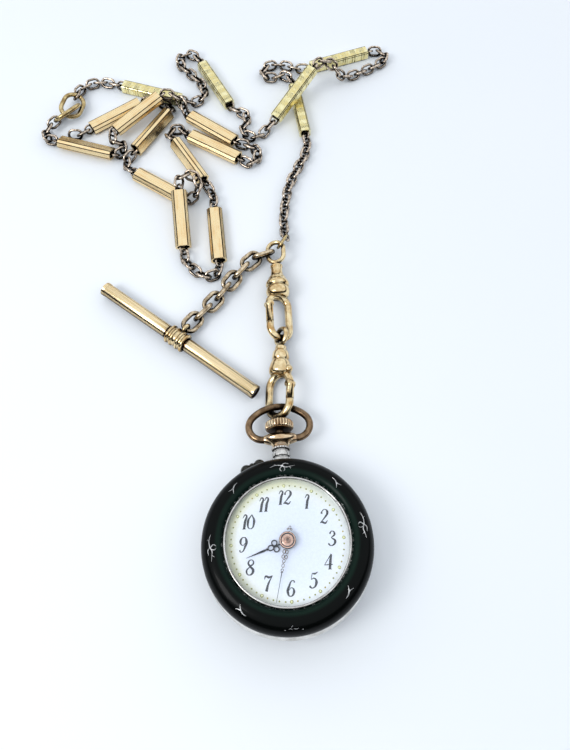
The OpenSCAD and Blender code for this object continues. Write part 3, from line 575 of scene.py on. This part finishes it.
# the winding crown: a flat drum with rounded flutes all round
crown = {"flutes": 28, "perFlute": 6, "cut": 0.2, "cutFrom": 2.3,
         "line": [(0, 22.98), (0.6, 22.98), (0.6, 21.72), (2.1, 21.72), (2.45, 21.82), (2.68, 22.05),
                  (2.75, 22.3), (2.75, 22.95), (2.66, 23.2), (2.4, 23.4), (1.4, 23.58), (0, 23.62)]}
shape = lathe(crown["line"], crown["flutes"] * crown["perFlute"])
for corner in shape.verts:
    out = math.hypot(corner.co.x, corner.co.y)
    if out > crown["cutFrom"]:
        wave = max(0, math.cos(crown["flutes"] * math.atan2(corner.co.y, corner.co.x)))
        corner.co.xy *= 1 - crown["cut"] * wave / out
bmesh.ops.transform(shape, verts=shape.verts, matrix=watchPlace @ neckSpace)
newPiece(shape, "crown", [metals["crownGold"]], ["crown"], "winder")

print("bezel, dial and glass")
newPiece(mergedCopy("bezel"), "enamelBezel", [blackEnamel], ["bezel"], sharp=50)
newPiece(mergedCopy("crystal"), "crystal", [crystalGlass], ["crystal"])
newPiece(mergedCopy("dial"), "dialPlate", [dialEnamel], ["dial"])

# silver sprays in the bezel: strokes of (along, across, radius), across counted outward from the crest
sprays = {
    "wide": [[(-2.3, 0.0, 0.02), (-1.3, 0.25, 0.06), (-0.2, 0.1, 0.1)],
             [(-0.2, 0.1, 0.1), (0.6, -0.25, 0.09), (1.3, -0.1, 0.06), (2.2, 0.15, 0.02)],
             [(-0.1, 0.1, 0.08), (0.3, 0.5, 0.07), (1.1, 0.45, 0.03)],
             [(-0.1, 0.0, 0.08), (-0.5, -0.6, 0.08), (-0.2, -1.0, 0.03)],
             [(0.2, -0.1, 0.07), (0.35, -0.75, 0.06), (0.1, -1.0, 0.02)],
             [(-1.2, 0.2, 0.05), (-1.5, 0.6, 0.02)],
             [(1.2, -0.1, 0.05), (1.5, -0.5, 0.02)]],
    "slim": [[(-1.2, 0.35, 0.02), (-0.6, 0.3, 0.08), (0.0, 0.0, 0.1), (0.35, -0.35, 0.07), (0.6, -0.7, 0.02)],
             [(0.0, 0.05, 0.08), (0.5, 0.15, 0.05), (0.9, 0.35, 0.02)]],
    "faint": [[(-1.6, 0.5, 0.03), (-1.5, 0.5, 0.07), (-1.4, 0.5, 0.03)],
              [(-0.8, 0.2, 0.02), (-0.4, 0.3, 0.04), (0.0, 0.2, 0.02)],
              [(0.2, 0.4, 0.02), (0.5, 0.2, 0.04), (0.8, 0.3, 0.02)],
              [(0.1, -0.3, 0.02), (0.3, -0.1, 0.04), (0.3, 0.1, 0.02)],
              [(1.3, 0.5, 0.02), (1.4, 0.5, 0.05), (1.5, 0.5, 0.02)]],
}
# where each stands: degrees clockwise from twelve, shift outward, turn and mirror
sprayPlaces = [("wide", 0, 0.5, 1), ("slim", 46, 0.7, 1), ("wide", 84, 1.1, 1), ("slim", 134, 0.9, -1),
               ("faint", 180, 1.7, 1), ("slim", 218, 1.4, 1), ("wide", 267, 0.9, -1), ("slim", 316, 0.6, -1)]
torus = {"ring": 12.3, "height": 7.4, "tube": 2.7, "bold": 1.1, "sunk": 0.4}
strokes = []
for kind, clock, shift, flip in sprayPlaces:
    for points in sprays[kind]:
        line = []
        for along, over, thick in points:
            roll = (over + shift) / torus["tube"]
            out = torus["ring"] + torus["tube"] * math.sin(roll)
            turn = rad(clock) + flip * along / out
            lift = torus["height"] + torus["tube"] * math.cos(roll) - thick * torus["sunk"]
            line.append((out * math.sin(turn), out * math.cos(turn), lift, thick * torus["bold"]))
        strokes.append(line)
shape = bmesh.new()
addMesh(shape, strokeMesh(strokes, "sprays"), watchPlace)
newPiece(shape, "silverSprays", [metals["inlaySilver"]])

# dial numerals: strokes of (x, y, half thickness) in a box one high
figures = {
    "1": [[(0.02, 0.78, 0.02), (0.2, 1.0, 0.05), (0.21, 0.5, 0.085), (0.2, 0.0, 0.08)],
          [(0.08, 0.0, 0.02), (0.2, 0.02, 0.03), (0.33, 0.0, 0.02)]],
    "2": [[(0.1, 0.7, 0.07), (0.14, 0.88, 0.035), (0.34, 1.0, 0.025), (0.52, 0.8, 0.085),
           (0.36, 0.42, 0.05), (0.06, 0.06, 0.02)],
          [(0.06, 0.06, 0.02), (0.24, 0.1, 0.07), (0.42, 0.02, 0.06), (0.58, 0.2, 0.02)]],
    "3": [[(0.1, 0.82, 0.06), (0.28, 1.0, 0.025), (0.46, 0.8, 0.07), (0.24, 0.55, 0.025)],
          [(0.24, 0.55, 0.025), (0.54, 0.28, 0.085), (0.28, 0.0, 0.03), (0.06, 0.16, 0.06)]],
    "4": [[(0.46, 1.0, 0.03), (0.04, 0.3, 0.02)], [(0.04, 0.3, 0.03), (0.62, 0.3, 0.03)],
          [(0.46, 1.0, 0.06), (0.44, 0.5, 0.085), (0.44, 0.0, 0.08)],
          [(0.32, 0.0, 0.02), (0.58, 0.0, 0.02)]],
    "5": [[(0.18, 0.96, 0.03), (0.36, 0.92, 0.06), (0.56, 1.02, 0.02)],
          [(0.18, 0.96, 0.025), (0.14, 0.56, 0.02)],
          [(0.14, 0.56, 0.02), (0.36, 0.62, 0.04), (0.52, 0.34, 0.09), (0.28, 0.0, 0.03),
           (0.06, 0.14, 0.07)]],
    "6": [[(0.5, 0.86, 0.055), (0.4, 1.0, 0.025), (0.14, 0.62, 0.07), (0.1, 0.26, 0.085), (0.3, 0.0, 0.03),
           (0.52, 0.28, 0.08), (0.34, 0.54, 0.025), (0.13, 0.34, 0.02)]],
    "7": [[(0.04, 0.78, 0.02), (0.1, 0.98, 0.06), (0.32, 0.9, 0.07), (0.56, 1.0, 0.02)],
          [(0.56, 1.0, 0.02), (0.34, 0.5, 0.06), (0.26, 0.0, 0.09)]],
    "8": [[(0.28, 0.56, 0.07), (0.12, 0.8, 0.06), (0.3, 1.0, 0.025), (0.48, 0.8, 0.05), (0.28, 0.56, 0.05)],
          [(0.28, 0.56, 0.06), (0.52, 0.26, 0.09), (0.28, 0.0, 0.03), (0.06, 0.26, 0.06),
           (0.28, 0.56, 0.03)]],
    "9": [[(0.08, 0.14, 0.055), (0.18, 0.0, 0.025), (0.44, 0.38, 0.07), (0.48, 0.74, 0.085),
           (0.28, 1.0, 0.03), (0.06, 0.72, 0.08), (0.24, 0.46, 0.025), (0.45, 0.66, 0.02)]],
    "0": [[(0.28, 1.0, 0.025), (0.06, 0.5, 0.085), (0.28, 0.0, 0.025), (0.5, 0.5, 0.085),
           (0.28, 1.0, 0.025)]],
}
figureWidths = {"1": 0.36, "0": 0.58}
numerals = {"radius": 7.65, "height": 2.45, "bold": 1.06, "slant": 0.17, "lift": 7.905, "width": 0.62,
            "gap": 0.06, "flat": 0.12}
tall = numerals["height"]
strokes = []
for hour in range(1, 13):
    text = str(hour)
    start = (numerals["gap"] - sum(figureWidths.get(c, numerals["width"]) for c in text)) / 2
    middleX = numerals["radius"] * math.sin(rad(hour * 30))
    middleY = numerals["radius"] * math.cos(rad(hour * 30))
    for c in text:
        for points in figures[c]:
            strokes.append([(middleX + tall * (start + x + numerals["slant"] * (y - 0.5)),
                             middleY + tall * (y - 0.5), 0, tall * numerals["bold"] * r)
                            for x, y, r in points])
        start += figureWidths.get(c, numerals["width"])
shape = bmesh.new()
numeralPlace = Matrix.Translation((0, 0, numerals["lift"])) @ Matrix.Diagonal((1, 1, numerals["flat"], 1))
addMesh(shape, strokeMesh(strokes, "numerals", 1), watchPlace @ numeralPlace)
newPiece(shape, "dialNumerals", [inkPaint])

# the ring of minute dots, with a larger gilt mark and a yellow halo at every hour: radius, height, material
dots = {"radius": 9.75, "lift": 7.9, "taper": 0.8, "sides": 12,
        "minute": [(0.15, 0.04, 0)], "hour": [(0.22, 0.05, 1), (0.3, 0.02, 2)]}
shape = bmesh.new()
for minute in range(60):
    turn = rad(minute * 6)
    for size, high, index in dots["minute" if minute % 5 else "hour"]:
        count = len(shape.faces)
        spot = (dots["radius"] * math.sin(turn), dots["radius"] * math.cos(turn), dots["lift"] + high / 2)
        bmesh.ops.create_cone(shape, cap_ends=True, segments=dots["sides"], radius1=size,
                              radius2=size * dots["taper"], depth=high,
                              matrix=watchPlace @ Matrix.Translation(spot))
        shape.faces.ensure_lookup_table()
        for face in shape.faces[count:]:
            face.material_index = index
newPiece(shape, "minuteDots", [giltDot, hourGilt, haloTint])

print("hands")


# a ring as a stroke of (x, y, half thickness) laid flat, the hand pointing along +Y
def ringStroke(x, y, wide, tall, thick):
    turns = [rad(a) for a in range(0, 361, 45)]
    return [(x + wide * math.sin(t), y + tall * math.cos(t), thick) for t in turns]


# rings are (x, y, half width, half height, half thickness), and one beside the middle has a twin
hands = {
    "hourHand": {"clock": 252, "lift": 8.18, "body": "hour", "slot": "blued_steel", "node": "hour_hand",
                 "rings": [(0.55, 2.25, 0.45, 0.45, 0.1), (0, 3.1, 0.42, 0.5, 0.1)],
                 "lines": [[(0, 0.9, 0.16), (0, 2.6, 0.1)],
                           [(-0.25, 3.85, 0.03), (0, 3.75, 0.12), (0.25, 3.85, 0.03)],
                           [(0, 3.6, 0.1), (0, 4.5, 0.2), (0, 5.8, 0.12), (0, 7.6, 0.03)]]},
    "minuteHand": {"clock": 194.5, "lift": 8.5, "body": "minute", "slot": "gilt_hand", "node": "minute_hand",
                   "rings": [(0.24, 1.9, 0.2, 0.34, 0.06), (0.26, 2.75, 0.2, 0.3, 0.06),
                             (0, 3.45, 0.22, 0.3, 0.055), (0, 4.2, 0.2, 0.32, 0.05),
                             (0, 4.95, 0.2, 0.22, 0.05), (0.3, -1.95, 0.14, 0.14, 0.05),
                             (0, -2.25, 0.16, 0.26, 0.05)],
                   "lines": [[(-0.26, 5.35, 0.02), (0, 5.25, 0.07), (0.26, 5.35, 0.02)],
                             [(0, 0.9, 0.12), (0, 1.6, 0.07)], [(0, -1.2, 0.1), (0, -1.6, 0.07)],
                             [(0, 5.2, 0.08), (0, 6.5, 0.05), (0, 10.1, 0.03)]]},
}
handShape = {"flat": 0.5, "steelFrom": 5.3, "hubSteps": 32, "hubThick": 0.07,
             "hubLine": [(0.5, -1), (1.0, -1), (1.05, 0), (1.0, 1), (0.5, 1), (0.5, -1)]}
for name, hand in hands.items():
    rings = [ringStroke(side * x, *rest) for x, *rest in hand["rings"] for side in ((1, -1) if x else (1,))]
    strokes = [[(x, y, 0, thick) for x, y, thick in points] for points in rings + hand["lines"]]
    handPlace = watchPlace @ Matrix.Translation((0, 0, hand["lift"]))
    shape = bmesh.new()
    addMesh(shape, strokeMesh(strokes, name, 1), handPlace @ Matrix.Rotation(rad(-hand["clock"]), 4, "Z")
            @ Matrix.Diagonal((1, 1, handShape["flat"], 1)))
    if name == "hourHand":
        hubLine = [(r, z * handShape["hubThick"]) for r, z in handShape["hubLine"]]
        addShape(shape, lathe(hubLine, handShape["hubSteps"]), handPlace)
        skins = [metals["bluedSteel"]]
    else:  # gilt near the middle, and dark steel toward the tip
        for face in shape.faces:
            spot = toWatch @ face.calc_center_median()
            face.material_index = 1 if math.hypot(spot.x, spot.y) > handShape["steelFrom"] else 0
        skins = [metals["handGilt"], metals["bluedSteel"]]
    newPiece(shape, name, skins, [hand["node"]], hand["body"])

# the copper boss in the middle, with a dark groove and a dark rim
boss = {"steps": 48, "grooveFrom": 0.95, "grooveTo": 1.16, "rimFrom": 1.4,
        "line": [(0, 9.27), (0.2, 9.26), (0.4, 9.23), (0.47, 9.15), (0.5, 9.02), (0.56, 8.98),
                 (0.62, 9.02), (0.9, 9), (1, 8.94), (1.12, 8.93), (1.2, 9), (1.38, 8.98), (1.46, 8.88),
                 (1.46, 8.6), (0, 8.6)]}
shape = lathe(boss["line"], boss["steps"])
for face in shape.faces:
    middle = face.calc_center_median()
    out = math.hypot(middle.x, middle.y)
    if boss["grooveFrom"] < out < boss["grooveTo"] or out > boss["rimFrom"]:
        face.material_index = 1
bmesh.ops.transform(shape, verts=shape.verts, matrix=watchPlace)
newPiece(shape, "handBoss", [metals["bossCopper"], metals["bluedSteel"]], body="minute")

# the T-bar: a tube, a little thinner under its sliding collar, with a raised rim and a sunk cap at each end
print("T-bar")
tBar = {"place": (-22.45, 38.6, 2.1), "turn": -35.8, "half": 20.2, "radius": 1.44, "rim": 1.5, "rimLong": 0.9,
        "cap": 1.2, "sunk": 0.25, "neck": 1.25, "neckHalf": 2.7, "steps": 72}
half = tBar["half"]
profile = [(0, half - tBar["sunk"]), (tBar["cap"], half - tBar["sunk"]), (tBar["cap"] + 0.05, half - 0.05),
           (tBar["rim"] - 0.1, half), (tBar["rim"], half - 0.1), (tBar["rim"], half - tBar["rimLong"]),
           (tBar["radius"], half - tBar["rimLong"] - 0.08), (tBar["radius"], tBar["neckHalf"]),
           (tBar["neck"], tBar["neckHalf"] - 0.05), (tBar["neck"], 0)]
profile = profile + [(r, -z) for r, z in reversed(profile[:-1])]
shape = lathe(profile, tBar["steps"])
layer = shape.verts.layers.float_vector.new("barSpace")
bmesh.ops.rotate(shape, verts=shape.verts, cent=(0, 0, 0), matrix=Matrix.Rotation(rad(90), 3, "Y"))
for corner in shape.verts:
    corner[layer] = corner.co
for face in shape.faces:
    middle = face.calc_center_median()
    nearEnd = abs(middle.x) > half - tBar["sunk"] + 0.01
    inHole = math.hypot(middle.y, middle.z) < tBar["cap"] + 0.04
    # the hole's wall is painted dark as shade
    if nearEnd and inHole and abs(face.normal.x) < 0.7:  # only the hole's wall is dark
        face.material_index = 1
bmesh.ops.transform(shape, verts=shape.verts, matrix=toMetres @ Matrix.Translation(tBar["place"])
                    @ Matrix.Rotation(rad(tBar["turn"]), 4, "Z"))
newPiece(shape, "tBar", [polishedGold, metals["shadeLine"]], ["toggle_bar"])

# chain bars: the corners are cut flat, and a dark line of painted shade runs along each edge
print("chain bars")
barLooks = {
    "yellow_bar": {"length": 15.5, "width": 2.7, "thick": 2.5, "corner": 0.3, "line": 0.09,
                   "slot": "engraved_gold", "skin": engravedGold},
    "rose_bar": {"length": 13.5, "width": 3.5, "thick": 2.4, "corner": 0.62, "line": 0.12,
                 "slot": "rose_gold", "skin": roseGold},
}
# x, y, z of the middle, heading, rise, roll, rolls of the two end rings
barRows = {
    "yellow_bar": [(3.3, 101.5, 1.3, 100, 0, 0, -45, -45), (13.7, 118.5, 1.3, 20, 0, 0, -45, -45),
                   (2, 103.6, 4.8, 52, 18, 0, 45, -45), (-17.9, 109.9, 1.3, 119, 0, 0, -45, -45),
                   (-33.8, 107, 1.3, 163, 0, 0, -45, -45)],
    "rose_bar": [(-48.1, 89.2, 1.55, -16, 0, -25, -45, -45), (-42.1, 99.4, 1.4, 36, 0, 0, 45, -45),
                 (-36.2, 98.1, 3.75, 42, 8, 0, 45, -45), (-32.5, 94.1, 1.85, 59, 0, 70, -45, -45),
                 (-18.1, 95.3, 1.4, -35, 0, 0, 45, -45), (-17.3, 89.6, 1.4, 150, 0, 0, 45, -45),
                 (-23, 84.9, 1.85, -57, 0, 65, 45, -45), (-29.4, 77.9, 1.4, 148, 0, 0, 45, -45),
                 (-23.6, 67.6, 3.1, 97, 12, 0, 45, -45), (-15.6, 64.5, 1.4, -83, 0, 0, -45, -45)],
}
endRing = {"radius": 1.0, "wire": 0.24, "out": 0.7, "recess": 0.4, "deep": 0.5, "steps": 28, "sides": 10}
ringSize = 2 * (endRing["radius"] + endRing["wire"])
ringMesh = wireLink(ringSize, ringSize, endRing["wire"], endRing["steps"], endRing["sides"])
for kind, look in barLooks.items():
    for number, (x, y, z, heading, rise, roll, lowRoll, highRoll) in enumerate(barRows[kind], 1):
        w, t, c, n = look["width"] / 2, look["thick"] / 2, look["corner"], look["length"]
        shape = bmesh.new()
        outline = [(w, t - c), (w - c, t), (c - w, t), (-w, t - c), (-w, c - t), (c - w, -t), (w - c, -t),
                   (w, c - t)]
        start = shape.faces.new([shape.verts.new((-n / 2, side, up)) for side, up in outline])
        grown = bmesh.ops.extrude_face_region(shape, geom=[start])
        farVerts = [v for v in grown["geom"] if isinstance(v, bmesh.types.BMVert)]
        bmesh.ops.translate(shape, vec=(n, 0, 0), verts=farVerts)
        bmesh.ops.recalc_face_normals(shape, faces=shape.faces)
        longEdges = [e for e in shape.edges if e.calc_length() > n - 0.1]
        bmesh.ops.bevel(shape, geom=longEdges, offset=look["line"], segments=1, profile=0.5, affect="EDGES",
                        material=1)
        # the sunk recess at each end is painted dark as shade
        for ends in [f for f in shape.faces if abs(f.normal.x) > 0.9]:
            bmesh.ops.inset_region(shape, faces=[ends], thickness=endRing["recess"], use_even_offset=True)
            away = ends.normal.copy() * -endRing["deep"]
            sunk = bmesh.ops.extrude_face_region(shape, geom=[ends], use_keep_orig=False)
            floorVerts = [v for v in sunk["geom"] if isinstance(v, bmesh.types.BMVert)]
            bmesh.ops.translate(shape, vec=away, verts=floorVerts)
            for vert in floorVerts:
                for face in vert.link_faces:
                    face.material_index = 1
        facesOut = [f for f in shape.faces if abs(f.normal.x) > 0.9 and len(f.verts) > 6]
        for face in [f for f in facesOut if abs(f.calc_center_median().x) > n / 2 - 0.01]:
            bmesh.ops.delete(shape, geom=[face], context="FACES_ONLY")
        layer = shape.verts.layers.float_vector.new("barSpace")
        spin = Matrix.Rotation(rad(roll), 4, "X")
        for corner in shape.verts:
            corner[layer] = corner.co
        bmesh.ops.transform(shape, verts=shape.verts, matrix=spin)
        for side, turn in ((-1, lowRoll), (1, highRoll)):
            addMesh(shape, ringMesh, Matrix.Rotation(rad(turn), 4, "X")
                    @ Matrix.Translation((side * (n / 2 + endRing["out"]), 0, 0)), 2)
        bmesh.ops.transform(shape, verts=shape.verts, matrix=toMetres @ Matrix.Translation((x, y, z))
                            @ Matrix.Rotation(rad(heading), 4, "Z") @ Matrix.Rotation(rad(-rise), 4, "Y"))
        newPiece(shape, f"{kind}Piece{number}", [look["skin"], metals["shadeLine"], metals["linkBronze"]],
                 [f"{kind}_{number}"], sharp=20)

# the small cable links follow the same points as the solids
print("cable links")
cable = {"length": 3.8, "width": 2.8, "wire": 0.31, "pitch": 2.13, "low": 1.3, "steps": 20, "sides": 10,
         "pastBar": 1.25, "curveSteps": 10}


# where a route meets the ring at a bar's end
def tip(kind, number, side):
    x, y, z, heading, rise, *rest = barRows[kind][number - 1]
    out = side * (barLooks[kind]["length"] / 2 + cable["pastBar"])
    return (x + out * math.cos(rad(heading)) * math.cos(rad(rise)),
            y + out * math.sin(rad(heading)) * math.cos(rad(rise)), z + out * math.sin(rad(rise)))


yellow, rose = "yellow_bar", "rose_bar"
# each route: the first link's roll, and its points, where one of two numbers lies on the table
routes = [
    (45, [(-0.2, 62.8, 2.8), (-0.4, 65.2, 1.6), (-0.6, 69), (-0.2, 73), (0.6, 78),
          (2.4, 82.5), (4.2, 86.6), (5.1, 90), tip(yellow, 1, -1)]),
    (45, [tip(yellow, 1, 1), (0.8, 112.3), (-0.9, 113.2), (-2.8, 112.3), (-4.8, 112.2),
          (-6, 113.9), (-5.2, 115.9), (-3.2, 116.7), (-1, 116.6), (1, 116),
          (3, 115.3), tip(yellow, 2, -1)]),
    (45, [tip(yellow, 2, 1), (24.2, 121.6), (25.8, 120), (25.2, 117.9), (23.4, 116.5),
          (21.4, 115.3), (19.4, 114.2), (17.4, 113.2), (15.5, 112.3, 1.5),
          (13.9, 111.6, 2.7), (12.8, 111.4, 4.4), (11.6, 112, 6), (9.6, 112.4, 7.2), tip(yellow, 3, 1)]),
    (45, [tip(yellow, 3, -1), (-4.8, 95, 1.5), (-6.2, 93.2), (-8.2, 92.6), (-10, 93.6),
          (-10.6, 95.6), (-9.6, 97.6), (-9.7, 99.6), (-11.4, 100.6), tip(yellow, 4, -1)]),
    (45, [tip(yellow, 4, 1), (-23.6, 119.8), (-25.6, 120.6), (-27.4, 119.4),
          (-27.6, 117.2), (-26.4, 115.4), (-24.8, 113.9), (-23.3, 112.2),
          (-21.8, 110.5), (-20.8, 108.5), (-20.6, 106.3), (-21.6, 104.5),
          (-23.4, 103.6), tip(yellow, 5, -1)]),
    (45, [tip(yellow, 5, 1), (-44.6, 110.2), (-46.8, 110.6), (-49, 110.2),
          (-51, 109.1), (-52.4, 107, 1.6), (-52.35, 104.8, 2.3)]),
    (-45, [(-55.9, 97.1, 2.7), (-57.6, 95.6, 2.1), (-58.6, 93.6), (-57.7, 91.9), tip(rose, 1, -1)]),
    (45, [tip(rose, 1, 1), (-38.95, 88.5), (-39.7, 90.6), (-41.9, 91, 2), tip(rose, 3, -1)]),
    (45, [tip(rose, 3, 1), (-28, 103.4, 4.6), (-26.2, 102.5, 3.6), (-25.2, 100.9, 2.4), tip(rose, 5, -1)]),
    (45, [tip(rose, 5, 1), (-9.5, 90.2), (-7.6, 89.2), (-6.6, 87.3), (-7.2, 85.5),
          (-8.9, 84.6), tip(rose, 6, -1)]),
    (45, [tip(rose, 6, 1), (-25.8, 95.3), (-27.85, 94.9), (-28.6, 93.1), tip(rose, 7, -1)]),
    (45, [tip(rose, 7, 1), (-17.5, 76.6), (-16.8, 74.6), tip(rose, 10, -1)]),
    (45, [tip(rose, 10, 1), (-14.8, 54.7), (-16.4, 53.7), (-18.4, 54.2),
          (-20.1, 55.5), (-21.6, 57), (-22.5, 58.4), tip(rose, 9, -1)]),
    (45, [tip(rose, 9, 1), (-24.4, 77.6, 5), (-22.5, 79, 4.6), (-20.3, 77.9, 4.2), (-20.3, 75.4, 2.8),
          tip(rose, 8, -1)]),
    (45, [tip(rose, 8, 1), (-37.7, 83.5), (-38, 85.6), tip(rose, 4, -1)]),
    (45, [tip(rose, 4, 1), (-28.9, 102.5), (-30.8, 103.4), (-33.2, 103.9), tip(rose, 2, 1)]),
    (45, [tip(rose, 2, -1), (-50.4, 93.4), (-52.4, 93.5)]),
]


# evenly spaced joint points on the smooth line through a route's points
def jointPoints(route, pitch):
    points = [Vector((*p, cable["low"])[:3]) for p in route]
    line = []
    for i in range(len(points) - 1):
        a, b, c, d = points[max(i - 1, 0)], points[i], points[i + 1], points[min(i + 2, len(points) - 1)]
        for k in range(cable["curveSteps"]):
            s = k / cable["curveSteps"]
            line.append(0.5 * (2 * b + (c - a) * s + (2 * a - 5 * b + 4 * c - d) * s * s
                               + (3 * b - a - 3 * c + d) * s ** 3))
    line.append(points[-1])
    lengths = [0.0]
    for a, b in zip(line, line[1:]):
        lengths.append(lengths[-1] + (b - a).length)
    count = max(1, math.floor(lengths[-1] / pitch + 0.5))
    spots = []
    for k in range(count + 1):
        want = lengths[-1] * k / count
        i = next((j for j in range(1, len(line)) if lengths[j] >= want), len(line) - 1)
        part = min(1, (want - lengths[i - 1]) / (lengths[i] - lengths[i - 1]))
        spots.append(line[i - 1] + (line[i] - line[i - 1]) * part)
    return spots


linkMesh = wireLink(cable["length"], cable["width"], cable["wire"], cable["steps"], cable["sides"])
shape = bmesh.new()
for firstRoll, route in routes:
    spots = jointPoints(route, cable["pitch"])
    for i, (a, b) in enumerate(zip(spots, spots[1:])):
        along = b - a
        roll = firstRoll - math.copysign(90, firstRoll) * (i % 2)  # each link is turned across the one before
        place = (Matrix.Translation((a + b) / 2) @ Matrix.Rotation(math.atan2(along.y, along.x), 4, "Z")
                 @ Matrix.Rotation(-math.asin(along.z / along.length), 4, "Y")
                 @ Matrix.Rotation(rad(roll), 4, "X"))
        addMesh(shape, linkMesh, toMetres @ place)
newPiece(shape, "cableLinks", [metals["linkBronze"]], ["cable_links"], sharp=60)
